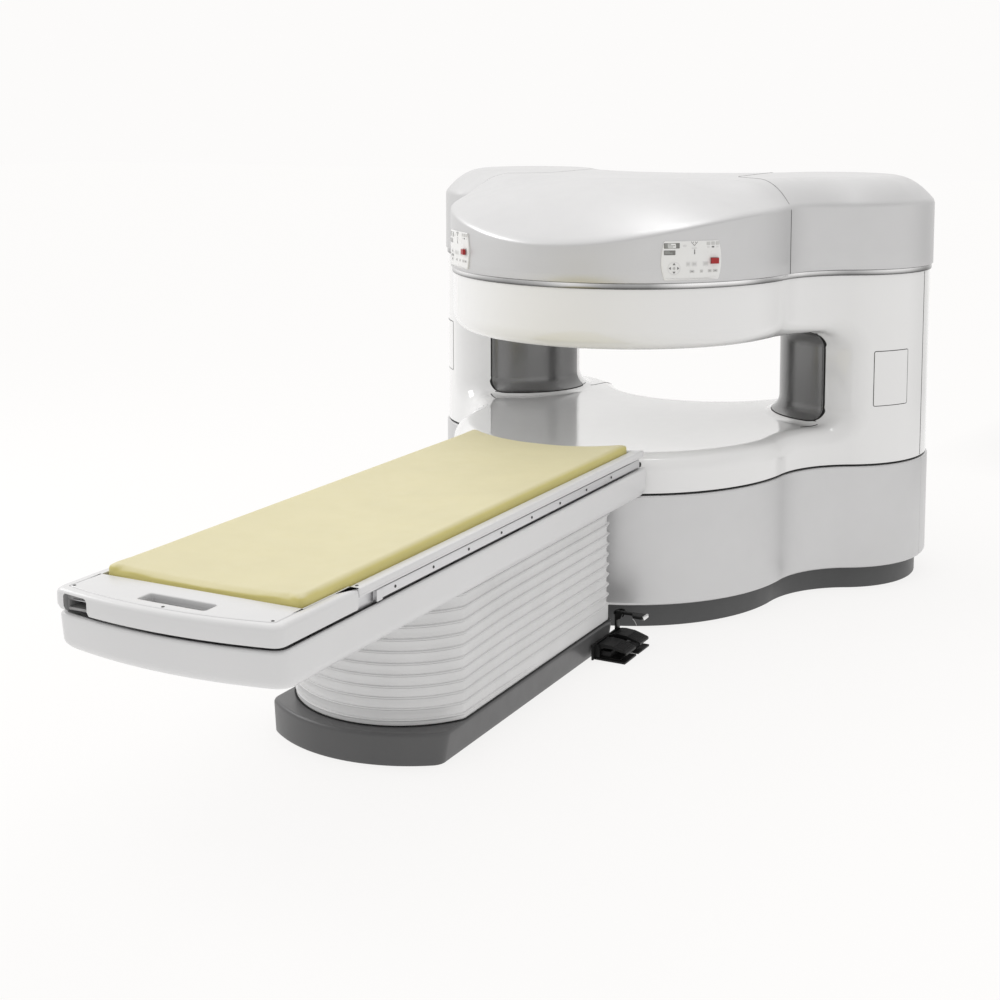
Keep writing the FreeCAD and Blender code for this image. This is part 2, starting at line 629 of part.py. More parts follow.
def bezel(sign):
    deg = panel_frame(sign)
    r0, r1 = val("disc_rad"), val("disc_rad") + val("panel_thick")
    half = math.degrees(val("panel_wide") / 2 / r0) + 2
    z0, z1 = val("panel_z") - val("panel_tall") / 2, val("panel_z") + val("panel_tall") / 2
    ring = sector((0, 0), r0, r1, deg - half, deg + half, z0, z1)
    # barrel outline: flat top and bottom, bowed sides
    w, n, t = val("panel_wide") / 2, val("panel_wide") / 2 - 14, val("panel_tall") / 2
    x0 = 700.0
    pts = [Vector(x0, -n, -t), Vector(x0, n, -t), Vector(x0, w, 0), Vector(x0, n, t), Vector(x0, -n, t), Vector(x0, -w, 0)]
    edges = [Part.LineSegment(pts[0], pts[1]).toShape(), Part.Arc(pts[1], pts[2], pts[3]).toShape(),
             Part.LineSegment(pts[3], pts[4]).toShape(), Part.Arc(pts[4], pts[5], pts[0]).toShape()]
    barrel = Part.Face(Part.Wire(edges)).extrude(Vector(200, 0, 0))
    barrel.rotate(Vector(0, 0, 0), Vector(0, 0, 1), deg)
    barrel.translate(Vector(0, 0, val("panel_z")))
    hole = slab(r0 - 20, r0 + 30, 98 - 17.5, 98 + 17.5, -15.5, 9.5)
    hole.rotate(Vector(0, 0, 0), Vector(0, 0, 1), deg)
    hole.translate(Vector(0, 0, val("panel_z")))
    return solid_of(ring.common(barrel).cut(hole))


def windows(sign):
    # two display windows, one above the other, a millimetre proud of the plate
    deg = panel_frame(sign)
    r1 = val("disc_rad") + val("panel_thick")
    out = []
    for a, b, z0, z1 in ((-122, -56, 51, 73), (-122, -74, 24, 43)):
        da, db = math.degrees(a / r1), math.degrees(b / r1)
        out.append(sector((0, 0), r1, r1 + 1.0, deg + da, deg + db, val("panel_z") + z0, val("panel_z") + z1))
    return Part.makeCompound(out)


def stop_button(sign):
    # rectangular push button that stands out through the plate
    deg = panel_frame(sign)
    r0 = val("disc_rad")
    cap = slab(r0 + 3.4, r0 + 15, 98 - 17, 98 + 17, -15, 9)
    cap = cap.makeFillet(2.5, [e for e in cap.Edges if all(v.X > r0 + 10 for v in e.Vertexes)])
    return cap, Placement(Vector(0, 0, val("panel_z")), Rotation(Vector(0, 0, 1), deg))


for side, sign in (("right", 1), ("left", -1)):
    moulding("panel_plate_" + side, bezel(sign))
    moulding("panel_displays_" + side, windows(sign))
    moulding("stop_button_" + side, *stop_button(sign))

# =================================================================== table


def nose_face(hw, nose, near, far, z, corner=30.0, soft=55.0):
    # plan of the base and of the bellows: round nose towards the foot end, eased into straight sides
    cy = -near + nose
    sx = hw - soft
    sy = cy - math.sqrt((nose - soft) ** 2 - sx ** 2)
    a = math.asin(sx / (nose - soft))
    t_nose = (nose * math.sin(a), cy - nose * math.cos(a))
    mid = (-math.pi / 2 + a) / 2
    m = Vector(sx + soft * math.cos(mid), sy + soft * math.sin(mid), z)
    tn, ts = Vector(t_nose[0], t_nose[1], z), Vector(hw, sy, z)
    edges = [arc_edge((0, cy), nose, -math.pi / 2 - a, -math.pi / 2 + a, z),
             Part.Arc(tn, m, ts).toShape(),
             Part.Arc(Vector(-hw, sy, z), Vector(-m.x, m.y, z), Vector(-t_nose[0], t_nose[1], z)).toShape()]
    c = corner
    edges += [seg((hw, sy), (hw, -far - c), z),
              arc_edge((hw - c, -far - c), c, 0, math.pi / 2, z),
              seg((hw - c, -far), (-hw + c, -far), z),
              arc_edge((-hw + c, -far - c), c, math.pi / 2, math.pi, z),
              seg((-hw, -far - c), (-hw, sy), z)]
    return Part.Wire(Part.__sortEdges__(edges))


def loft(wires, ruled=True):
    return Part.makeLoft(wires, True, ruled)


# base cover: grey shell that leans out slightly, open below, with a top opening for the column
b_out = loft([nose_face(val("base_hw_low"), val("base_nose"), val("base_near_y"), val("base_far_y"), 0),
              nose_face(val("base_hw_top"), val("base_nose"), val("base_near_y"), val("base_far_y"), val("base_tall"))])
b_in = loft([nose_face(val("base_hw_low") - 6, val("base_nose") - 6, val("base_near_y") - 6, val("base_far_y") + 6, -1),
             nose_face(val("base_hw_top") - 6, val("base_nose") - 6, val("base_near_y") - 6, val("base_far_y") + 6, val("base_tall") - 6)])
b_open = slab(-290, 290, -2165, -960, 90, 140)
moulding("base_cover", solid_of(b_out.cut([b_in, b_open])))

# base plate with four floor anchor holes
plate = block("base_plate", "plate_wide", "plate_deep", "plate_thick", py="-plate_cy")
sk = new_sketch(plate, "anchor_plan", "0")
for sx in (-1, 1):
    for sy in (-1, 1):
        sgx, sgy = ("-" if sx < 0 else ""), ("-" if sy < 0 else "")
        circle_sketch(sk, "anchor_rad", sgx + "anchor_sx / 2", sgy + "anchor_sy / 2")
pocket(plate, sk, "plate_thick", "anchor_holes")
place(plate, "0", "-plate_cy", "0")


# three-stage lifting column, each stage a rectangular tube
def tube(label, wide, deep, wall, tall, low):
    body = new_body(label)
    box_sketch(new_sketch(body, label + "_plan"), wide, deep)
    pad(body, body.Group[-1], tall, label + "_pad")
    box_sketch(new_sketch(body, label + "_bore_plan"), "(%s) - 2 * %s" % (wide, wall), "(%s) - 2 * %s" % (deep, wall))
    pocket(body, body.Group[-1], tall, label + "_bore")
    place(body, "0", "-col_cy", low)
    return body


tube("lift_column_outer", "col_wide", "col_deep", "col_wall", "col_outer_tall", "plate_thick")
tube("lift_column_middle", "col_wide - 2 * col_wall - 2 * col_fit", "col_deep - 2 * col_wall - 2 * col_fit", "12",
     "col_mid_tall", "col_mid_z")
tube("lift_column_inner", "col_wide - 2 * col_wall - 4 * col_fit - 24", "col_deep - 2 * col_wall - 4 * col_fit - 24", "12",
     "col_in_tall", "col_in_z")

# lift motor with gearbox, beside the column
block("lift_motor", "130", "130", "190", py="-2090", pz="plate_thick", fillet="18")

# bellows: pleated sleeve between the base and the carriage
pleats = int(val("bel_pleats"))
z0, z1 = val("bel_base"), val("carr_base")
step = (z1 - z0) / pleats
wires = []
dp = val("bel_depth")
for k in range(pleats):
    wires.append(nose_face(val("bel_hw") - dp, val("bel_nose") - dp, val("bel_near_y") - dp, val("bel_far_y") + dp, z0 + k * step))
    wires.append(nose_face(val("bel_hw"), val("bel_nose"), val("bel_near_y"), val("bel_far_y"), z0 + (k + 0.5) * step))
wires.append(nose_face(val("bel_hw") - dp, val("bel_nose") - dp, val("bel_near_y") - dp, val("bel_far_y") + dp, z1))
bel = loft(wires)
t = dp + 4
bel_in = loft([nose_face(val("bel_hw") - t, val("bel_nose") - t, val("bel_near_y") - t, val("bel_far_y") + t, z0 - 1),
               nose_face(val("bel_hw") - t, val("bel_nose") - t, val("bel_near_y") - t, val("bel_far_y") + t, z1 + 1)])
moulding("bellows", solid_of(bel.cut(bel_in)))


# carriage trough: white housing under the table top, bowed at the foot end and
# scooped at the far end to clear the round front of the magnet
def trough_wire(hw, side_y, mid_y, scoop, z, corner):
    sag = mid_y - side_y
    rn = (hw ** 2 + sag ** 2) / (2 * sag)
    cy = -mid_y + rn
    xc = hw - corner
    yc = cy - math.sqrt(rn ** 2 - xc ** 2)
    y_side = -side_y + corner
    ax = math.asin(xc / rn)
    far = -math.sqrt(scoop ** 2 - hw ** 2)
    af = math.asin(hw / scoop)
    mid = Vector(hw - 0.2929 * corner, yc + 0.2 * corner, z)
    near = arc_edge((0, cy), rn, -math.pi / 2 - ax, -math.pi / 2 + ax, z)
    cr = Part.Arc(Vector(xc, yc, z), mid, Vector(hw, y_side, z)).toShape()
    cl = Part.Arc(Vector(-hw, y_side, z), Vector(-mid.x, mid.y, z), Vector(-xc, yc, z)).toShape()
    side_r = seg((hw, y_side), (hw, far), z)
    side_l = seg((-hw, far), (-hw, y_side), z)
    scoop_arc = arc_edge((0, 0), scoop, -math.pi / 2 - af, -math.pi / 2 + af, z)
    return Part.Wire(Part.__sortEdges__([near, cr, side_r, scoop_arc, side_l, cl]))


c_low, c_top, cb = val("carr_hw_low"), val("carr_hw_top"), val("carr_base")
sc = val("carr_scoop")
t_out = loft([trough_wire(c_low, 3170, 3218, sc, cb, 50),
              trough_wire(c_top - 24.5, 3210, 3258, sc, cb + 7, 42),
              trough_wire(c_top - 10, 3235.5, 3283.5, sc, cb + 22, 38),
              trough_wire(c_top - 3, 3248, 3296, sc, cb + 41, 36),
              trough_wire(c_top, 3256, 3304, sc, val("carr_top"), 36)])
t_in = loft([trough_wire(c_low + 7, 3184, 3232, sc + 6, cb + 10, 40),
             trough_wire(c_top - 17.5, 3226, 3274, sc + 6, cb + 23, 34),
             trough_wire(c_top - 9.5, 3241, 3289, sc + 6, cb + 42, 31),
             trough_wire(c_top - 6, 3250, 3298, sc + 6, val("carr_top") + 0.5, 31)])
col_hole = slab(-140, 140, -1600 - 340, -1600 + 340, 560, 600)
moulding("carriage_trough", solid_of(t_out.cut([t_in, col_hole])))

# welded carriage frame: foot plate on the column, two webs, a deck and two rail beams
fz = val("carr_base") + 10
frame = slab(-300, 300, -2120, -1080, fz, fz + 12)
for s in (-1, 1):
    frame = frame.fuse(slab(min(s * 288, s * 300), max(s * 288, s * 300), -2860, -900, fz + 12, 700))
    frame = frame.fuse(slab(min(s * 330, s * 384), max(s * 330, s * 384), -2860, -776, 712, 741))
frame = frame.fuse([slab(-300, 300, -2860, -2848, fz + 12, 700), slab(-300, 300, -912, -900, fz + 12, 700),
                    slab(-384, 384, -2860, -776, 700, 712), slab(-340, 340, -3200, -2860, 700, 712)])
frame = frame.removeSplitter().cut(cyl(val("carr_scoop") + 9, 500, 800))
moulding("carriage_frame", solid_of(frame))

# low-friction strips on the beams that the tray slides on
strips = new_body("glide_strips")
sk = new_sketch(strips, "strip_plan", "beam_top")
box_sketch(sk, "2 * 358 + 30", "strip_long")
pad(strips, sk, "strip_thick", "strip_pad")
sk = new_sketch(strips, "strip_gap_plan", "beam_top")
box_sketch(sk, "2 * 358 - 30", "strip_long + 20")
pocket(strips, sk, "strip_thick", "strip_gap")
place(strips, "0", "-1820", "0")

# fixed side rails with their end stops, brackets and screws
for side, s in (("right", ""), ("left", "-")):
    block("side_rail_" + side, "rail_thick", "rail_near_y - rail_far_y", "rail_tall",
          px=s + "(rail_in + rail_thick / 2)", py="-(rail_near_y + rail_far_y) / 2", pz="rail_low")
screws = []
stops = []
x_face = val("rail_in") + val("rail_thick")
for s in (-1, 1):
    for k in range(8):
        py = -2661 + k * val("screw_pitch")
        head = Part.makeCylinder(val("screw_rad"), 1.8, Vector(s * x_face, py, 727), Vector(s, 0, 0))
        head = head.cut(Part.makeCylinder(2.2, 2.0, Vector(s * (x_face + 0.7), py, 727), Vector(s, 0, 0)))
        screws.append(head)
    stop = Part.makeCylinder(11, 17, Vector(s * val("rail_in"), -val("rail_far_y") + 11, 718), Vector(s, 0, 0))
    stops.append(stop)
moulding("rail_screws", Part.makeCompound(screws))
moulding("rail_end_rollers", Part.makeCompound(stops))
brackets = [slab(min(s * 384, s * 405), max(s * 384, s * 405), -2768, -2735, 706, 746) for s in (-1, 1)]
moulding("rail_brackets", Part.makeCompound(brackets))

# fixed foot-end housing: a U around the neck of the sliding tray
cap_y = val("cap_near_y")
fh_out = loft([trough_wire(404, cap_y - 54, cap_y - 8, 1000, 712, 32), trough_wire(407, cap_y - 46, cap_y, 1000, 728, 32),
               trough_wire(407, cap_y - 46, cap_y, 1000, 778, 32)])
fh = fh_out.common(slab(-500, 500, -3400, -val("cap_far_y"), 700, 800))
neck = val("tray_neck_hw")
neck_hole = Part.Face(trough_wire(neck + 2, val("tray_near_y") - 44, val("tray_near_y") + 2, 1000, 748.7, 8)).extrude(Vector(0, 0, 60))
fh = fh.cut([neck_hole,
             slab(-358, 358, -3258, -2000, 720, 743),
             slab(-362, -256, -3400, -3256, 705, 770),
             slab(12 - 128, 12 + 128, -3250, -3180, 720, 760)])
moulding("foot_housing", solid_of(fh))

# sliding tray: neck with the hand slot, full-width pan for the mattress
far_r = val("tray_scoop")
hw = val("tray_hw")


def plan_face(edges):
    return Part.Face(Part.Wire(Part.__sortEdges__(edges)))


def pan_face(hw, near, scoop, z, corner):
    af = math.asin((hw) / scoop)
    far = -math.sqrt(scoop ** 2 - hw ** 2)
    return plan_face([seg((-hw, -near), (hw, -near), z), seg((hw, -near), (hw, far), z),
                      arc_edge((0, 0), scoop, -math.pi / 2 - af, -math.pi / 2 + af, z), seg((-hw, far), (-hw, -near), z)])


tb, tt, tp = val("tray_base"), val("tray_top"), val("tray_pan")
tray = pan_face(hw, val("tray_shoulder_y"), far_r, tb, 0).extrude(Vector(0, 0, tt - tb))
nh = val("tray_neck_hw")
neck_plan = Part.Face(trough_wire(nh, val("tray_near_y") - 46, val("tray_near_y"), 1000, tb, 6)).extrude(Vector(0, 0, tt - tb))
tray = tray.fuse(neck_plan.common(slab(-500, 500, -3400, -2700, tb - 1, tt + 1))).removeSplitter()
pan = pan_face(val("mat_hw") + 2, val("mat_near_y") + 2, val("mat_scoop") - 2, tp, 0).extrude(Vector(0, 0, 60))
slot_x = 12.0
sw, sd = val("slot_wide") / 2, val("slot_deep") / 2
hand = slab(slot_x - sw, slot_x + sw, -3215 - sd, -3215 + sd, tb - 5, tt + 5)
hand = hand.makeFillet(12, [e for e in hand.Edges if abs(e.Vertexes[0].Z - e.Vertexes[1].Z) > 5])
tray = tray.cut([pan, hand])
moulding("tray", solid_of(tray))

# tray corner screws, flush discs on the top face
tscrews = []
for px, py in ((-359, -3232), (359, -3232), (8, -3273), (385, -2850), (-385, -2850)):
    tscrews.append(cyl(5, tt, tt + 1.2, px, py).cut(cyl(2.2, tt + 0.5, tt + 2, px, py)))
moulding("tray_screws", Part.makeCompound(tscrews))

# mattress: one closed pad, hollowed slightly along its middle
mh = val("mat_hw")
prof = [Vector(-mh, 0, tp), Vector(mh, 0, tp), Vector(mh, 0, 808), Vector(0, 0, 793), Vector(-mh, 0, 808)]
pw = Part.Wire([Part.LineSegment(prof[0], prof[1]).toShape(), Part.LineSegment(prof[1], prof[2]).toShape(),
                Part.Arc(prof[2], prof[3], prof[4]).toShape(), Part.LineSegment(prof[4], prof[0]).toShape()])
long_pad = Part.Face(pw).extrude(Vector(0, -4000, 0))
matt = long_pad.common(pan_face(mh, val("mat_near_y"), val("mat_scoop"), tp - 5, 0).extrude(Vector(0, 0, 100)))
upright = [e for e in matt.Edges if len(e.Vertexes) == 2 and abs(e.Vertexes[0].X - e.Vertexes[1].X) < 1e-3
           and abs(e.Vertexes[0].Y - e.Vertexes[1].Y) < 1e-3]
matt = matt.makeFillet(22, upright)
moulding("mattress", solid_of(matt))

# drive unit for the tray, in the trough
block("tray_drive_unit", "150", "240", "88", px="0", py="-2500", pz="carr_base + 40", fillet="10")

# ------------------------------------------------------------------ pedals
# ground bar on the base's side with two foot pedals, and a release lever above
bar = slab(357, 366, -1130, -866, 0, 62)
floor_tray = slab(366, 497, -1116, -868, 0, 9)
post = slab(357, 366, -903, -866, 0, 136).fuse(slab(351.5, 366, -903, -866, 122, 136))
ears = []
for y0 in (-1112, -1010, -975, -880):
    ears.append(slab(366, 384, y0, y0 + 6, 9, 60))
mount = bar.fuse([floor_tray, post] + ears)
lever_ears = [slab(366, 390, -903, -897, 100, 140), slab(366, 390, -872, -866, 100, 140)]
mount = mount.fuse(lever_ears).removeSplitter()
pin = Part.makeCylinder(3.05, 300, Vector(379, -1150, 50), Vector(0, 1, 0))
pin2 = Part.makeCylinder(3.05, 60, Vector(383, -910, 130), Vector(0, 1, 0))
mount = mount.cut([pin, pin2])
moulding("pedal_mount", solid_of(mount))


def pedal(y0, y1):
    # cranked tread: arm from the pivot, sloping plate, turned-down toe
    pts = [(370, 44), (370, 62), (392, 66), (440, 63), (497, 46), (499, 34), (493, 33), (490, 42), (438, 55), (392, 57), (388, 44)]
    face = Part.Face(Part.makePolygon([Vector(px, y0, pz) for px, pz in pts + [pts[0]]]))
    body = face.extrude(Vector(0, y1 - y0, 0))
    return body.cut(Part.makeCylinder(3.05, 300, Vector(379, -1150, 50), Vector(0, 1, 0)))


moulding("pedal_up", pedal(-1105.7, -1010.3))
moulding("pedal_down", pedal(-968.7, -880.3))
lever = slab(374, 486, -896.7, -872.3, 124, 136).cut(Part.makeCylinder(3.05, 60, Vector(383, -910, 130), Vector(0, 1, 0)))
lever = lever.fuse(slab(430, 486, -925, -872.3, 124, 136)).removeSplitter()
moulding("release_lever", solid_of(lever))
tip = slab(486, 497, -922, -875, 122, 138)
moulding("lever_tip", tip.makeFillet(3, [e for e in tip.Edges if all(v.X > 490 for v in e.Vertexes)]))
pins = [Part.makeCylinder(3.0, 100, Vector(379, -1110, 50), Vector(0, 1, 0)),
        Part.makeCylinder(3.0, 97, Vector(379, -973, 50), Vector(0, 1, 0)),
        Part.makeCylinder(3.0, 36, Vector(383, -902.5, 130), Vector(0, 1, 0))]
moulding("pedal_pins", Part.makeCompound(pins))

# ------------------------------------------------------------------- write
doc.recompute()
bad = [o.Name for o in doc.Objects if any(s in ("Invalid", "Error") for s in o.State)]
if bad:
    raise RuntimeError("failed objects: " + ", ".join(bad))
os.makedirs("parts", exist_ok=True)
for label, obj in sorted(NODES.items()):
    shape = obj.Shape
    if shape.isNull() or not shape.isValid():
        raise RuntimeError("bad shape: " + label)
    shape.exportStep(os.path.join("parts", label + ".step"))
    box = shape.BoundBox
    print("%-22s solids %d  %8.1f..%8.1f %8.1f..%8.1f %7.1f..%7.1f" % (
        label, len(shape.Solids), box.XMin, box.XMax, box.YMin, box.YMax, box.ZMin, box.ZMax))
print(len(NODES), "nodes")
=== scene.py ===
import json
import math
import bpy
import bmesh
import numpy as np
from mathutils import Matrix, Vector
from mathutils.bvhtree import BVHTree


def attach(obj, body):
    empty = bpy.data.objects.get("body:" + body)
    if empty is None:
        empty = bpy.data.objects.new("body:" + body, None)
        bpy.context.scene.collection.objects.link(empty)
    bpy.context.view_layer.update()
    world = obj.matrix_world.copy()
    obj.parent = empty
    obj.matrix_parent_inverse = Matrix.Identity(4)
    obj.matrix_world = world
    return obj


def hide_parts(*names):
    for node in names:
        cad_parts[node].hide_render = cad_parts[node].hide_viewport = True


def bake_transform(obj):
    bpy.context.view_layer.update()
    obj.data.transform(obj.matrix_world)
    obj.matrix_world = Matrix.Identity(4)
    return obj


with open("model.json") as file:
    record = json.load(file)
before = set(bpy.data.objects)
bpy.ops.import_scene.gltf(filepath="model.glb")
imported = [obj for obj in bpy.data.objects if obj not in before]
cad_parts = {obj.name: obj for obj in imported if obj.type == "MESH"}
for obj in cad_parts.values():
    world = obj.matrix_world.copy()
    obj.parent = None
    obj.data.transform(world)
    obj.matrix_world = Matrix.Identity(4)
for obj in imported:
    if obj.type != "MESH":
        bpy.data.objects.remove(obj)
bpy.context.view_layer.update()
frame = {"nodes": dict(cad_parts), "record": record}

TAU = 2 * math.pi
rng = np.random.default_rng(11)

# --------------------------------------------------------------------------
# dimensions, metres, the same as the frame's
# --------------------------------------------------------------------------
DISC, LOBE_R, VALLEY = 0.800, 0.460, 0.410
LOBE = np.array([0.785, 0.640])
REAR_R = 0.4549
POST, POST_R = np.array([0.879, 0.633]), 0.320
BODY_IN, BAND_IN, SKIRT_IN, PLINTH_IN = 0.012, 0.006, 0.004, 0.050
Z_PLINTH, Z_SKIRT, Z_BODY, Z_POLE, Z_GAP, Z_BAND, Z_CAP, Z_TOP = 0.100, 0.572, 0.581, 0.740, 1.175, 1.436, 1.461, 1.866
SPLIT = 0.590


# --------------------------------------------------------------------------
# small mesh helpers
# --------------------------------------------------------------------------
def new_object(name, verts, faces, mats, face_mat=None, angle=32.0, body=None):
    me = bpy.data.meshes.new(name)
    me.from_pydata([tuple(v) for v in verts], [], [tuple(f) for f in faces])
    for m in mats if isinstance(mats, (list, tuple)) else [mats]:
        me.materials.append(m)
    if face_mat is not None:
        me.polygons.foreach_set("material_index", np.asarray(face_mat, np.int32))
    me.validate()
    me.update()
    ob = bpy.data.objects.new(name, me)
    bpy.context.scene.collection.objects.link(ob)
    if angle is not None:
        soften(ob, angle)
    if body:
        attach(ob, body)
    return ob


def soften(ob, angle=32.0):
    # smooth faces, with a crisp edge where two faces meet at more than the angle
    bm = bmesh.new()
    bm.from_mesh(ob.data)
    lim = math.radians(angle)
    for f in bm.faces:
        f.smooth = True
    for e in bm.edges:
        e.smooth = not (len(e.link_faces) == 2 and e.calc_face_angle(0.0) > lim)
    bm.to_mesh(ob.data)
    bm.free()


def fix_normals(ob):
    bm = bmesh.new()
    bm.from_mesh(ob.data)
    bmesh.ops.remove_doubles(bm, verts=bm.verts, dist=1e-6)
    bmesh.ops.recalc_face_normals(bm, faces=bm.faces)
    bm.to_mesh(ob.data)
    bm.free()


class Build:
    """Collects vertices and faces of one object."""

    def __init__(self):
        self.v, self.f, self.m = [], [], []

    def add(self, verts, faces, mat=0):
        base = len(self.v)
        self.v.extend([tuple(p) for p in verts])
        for f in faces:
            self.f.append(tuple(base + i for i in f))
            self.m.append(mat)

    def make(self, name, mats, body, slot, angle=32.0, fix=True):
        ob = new_object(name, self.v, self.f, mats, self.m, None)
        if fix:
            fix_normals(ob)
        soften(ob, angle)
        if body:
            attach(ob, body)
        return ob


def grid_faces(rows, cols, wrap_r=False, wrap_c=False):
    out = []
    for i in range(rows if wrap_r else rows - 1):
        for j in range(cols if wrap_c else cols - 1):
            a, b = i * cols + j, i * cols + (j + 1) % cols
            c, d = ((i + 1) % rows) * cols + (j + 1) % cols, ((i + 1) % rows) * cols + j
            out.append((a, b, c, d))
    return out


def fillet_profile(points, radii, seg=5):
    # closed polygon in (a, b) with each corner rounded by its own radius
    out = []
    n = len(points)
    for i in range(n):
        p0, p1, p2 = (np.array(points[(i + k) % n], float) for k in (-1, 0, 1))
        r = radii[i] if isinstance(radii, (list, tuple)) else radii
        if r <= 0:
            out.append(p1)
            continue
        u, w = p0 - p1, p2 - p1
        lu, lw = np.linalg.norm(u), np.linalg.norm(w)
        u, w = u / lu, w / lw
        half = math.acos(max(-1, min(1, float(u @ w)))) / 2
        cut = min(r / math.tan(half), 0.49 * lu, 0.49 * lw)
        rr = cut * math.tan(half)
        centre = p1 + (u + w) / np.linalg.norm(u + w) * (rr / math.sin(half))
        a, b = p1 + u * cut - centre, p1 + w * cut - centre
        t0, t1 = math.atan2(a[1], a[0]), math.atan2(b[1], b[0])
        dt = (t1 - t0 + math.pi) % TAU - math.pi
        for k in range(seg + 1):
            t = t0 + dt * k / seg
            out.append(centre + rr * np.array([math.cos(t), math.sin(t)]))
    return out


def tube(points, radius, sides=6, closed=False):
    # round bar along points, with frames that do not twist
    pts = [Vector(p) for p in points]
    n = len(pts)
    verts, faces = [], []
    up = None
    for i, p in enumerate(pts):
        a = pts[(i - 1) % n] if (closed or i > 0) else pts[0]
        b = pts[(i + 1) % n] if (closed or i < n - 1) else pts[-1]
        t = (b - a).normalized()
        if up is None:
            up = t.orthogonal().normalized()
        up = (up - t * up.dot(t)).normalized()
        side = t.cross(up)
        for k in range(sides):
            c = TAU * k / sides
            verts.append(p + up * (radius * math.cos(c)) + side * (radius * math.sin(c)))
    for i in range(n if closed else n - 1):
        for k in range(sides):
            k2 = (k + 1) % sides
            j = (i + 1) % n
            faces.append((i * sides + k, i * sides + k2, j * sides + k2, j * sides + k))
    if not closed:
        faces.append(tuple(reversed(range(sides))))
        faces.append(tuple((n - 1) * sides + k for k in range(sides)))
    return verts, faces


def rbox(lo, hi, r=0.002, seg=2):
    # box with rounded edges
    bm = bmesh.new()
    bmesh.ops.create_cube(bm, size=1.0)
    lo, hi = Vector(lo), Vector(hi)
    for v in bm.verts:
        v.co = Vector(((lo[i] + hi[i]) / 2 + v.co[i] * (hi[i] - lo[i])) for i in range(3))
    r = min(r, 0.45 * min(hi[i] - lo[i] for i in range(3)))
    bmesh.ops.bevel(bm, geom=list(bm.edges), offset=r, segments=seg, profile=0.5, affect="EDGES")
    bm.verts.index_update()
    verts = [tuple(v.co) for v in bm.verts]
    faces = [tuple(v.index for v in f.verts) for f in bm.faces]
    bm.free()
    return verts, faces


def revolve(profile, centre, axis, seg=24):
    # profile: (radius, height) pairs along the axis from centre
    axis = Vector(axis).normalized()
    u = axis.orthogonal().normalized()
    w = axis.cross(u)
    centre = Vector(centre)
    verts, faces = [], []
    for r, h in profile:
        for k in range(seg):
            t = TAU * k / seg
            verts.append(centre + axis * h + u * (r * math.cos(t)) + w * (r * math.sin(t)))
    n = len(profile)
    for i in range(n - 1):
        for k in range(seg):
            k2 = (k + 1) % seg
            faces.append((i * seg + k, i * seg + k2, (i + 1) * seg + k2, (i + 1) * seg + k))
    faces.append(tuple(reversed(range(seg))))
    faces.append(tuple((n - 1) * seg + k for k in range(seg)))
    return verts, faces


def loop_normals2(poly):
    # outward normals of a counterclockwise plan loop
    p = np.asarray(poly, float)
    a = p - np.roll(p, 1, 0)
    b = np.roll(p, -1, 0) - p
    a /= np.maximum(np.linalg.norm(a, axis=1), 1e-12)[:, None]
    b /= np.maximum(np.linalg.norm(b, axis=1), 1e-12)[:, None]
    na = np.stack([a[:, 1], -a[:, 0]], 1)
    nb = np.stack([b[:, 1], -b[:, 0]], 1)
    n = na + nb
    l2 = np.maximum((n * n).sum(1), 1e-9)
    return n * (2.0 / l2)[:, None]


def plate(build, outer, holes, z0, z1, r_top, r_bot, seg=4, mat=0):
    # flat plate with rounded rims and any number of through holes
    bm = bmesh.new()

    def walls(loop, flip):
        loop = np.asarray(loop, float)
        nrm = loop_normals2(loop) * (-1.0 if flip else 1.0)
        levels = []
        for k in range(seg + 1):
            t = k / seg * math.pi / 2
            levels.append((r_bot * (1 - math.sin(t)), z0 + r_bot * (1 - math.cos(t))))
        for k in range(seg + 1):
            t = k / seg * math.pi / 2
            levels.append((r_top * (1 - math.cos(t)), z1 - r_top * (1 - math.sin(t))))
        rings = []
        for inset, z in levels:
            q = loop - nrm * inset
            rings.append([bm.verts.new((x, y, z)) for x, y in q])
        for a, b in zip(rings, rings[1:]):
            for i in range(len(a)):
                j = (i + 1) % len(a)
                vs = (a[i], a[j], b[j], b[i])
                bm.faces.new(vs if not flip else tuple(reversed(vs)))
        return rings[0], rings[-1]

    lows, tops = [], []
    lo, hi = walls(outer, False)
    lows.append(lo)
    tops.append(hi)
    for h in holes:
        lo, hi = walls(h, True)
        lows.append(lo)
        tops.append(hi)
    for group in (lows, tops):
        if len(group) == 1:
            bm.faces.new(group[0])
            continue
        edges = []
        for ring in group:
            for i in range(len(ring)):
                e = bm.edges.get((ring[i], ring[(i + 1) % len(ring)]))
                edges.append(e)
        bmesh.ops.triangle_fill(bm, edges=edges, use_beauty=True, use_dissolve=False)
    bmesh.ops.recalc_face_normals(bm, faces=bm.faces)
    bm.verts.index_update()
    build.add([tuple(v.co) for v in bm.verts], [tuple(v.index for v in f.verts) for f in bm.faces], mat)
    bm.free()


def densify(loop, step=0.006):
    # adds points along the long edges of a closed loop
    out = []
    n = len(loop)
    for i in range(n):
        a, b = loop[i], loop[(i + 1) % n]
        k = max(1, int(math.hypot(b[0] - a[0], b[1] - a[1]) / step))
        out += [(a[0] + (b[0] - a[0]) * j / k, a[1] + (b[1] - a[1]) * j / k) for j in range(k)]
    return out


def rect_loop(x0, x1, y0, y1, r, seg=5):
    return [tuple(p) for p in fillet_profile([(x0, y0), (x1, y0), (x1, y1), (x0, y1)], r, seg)]


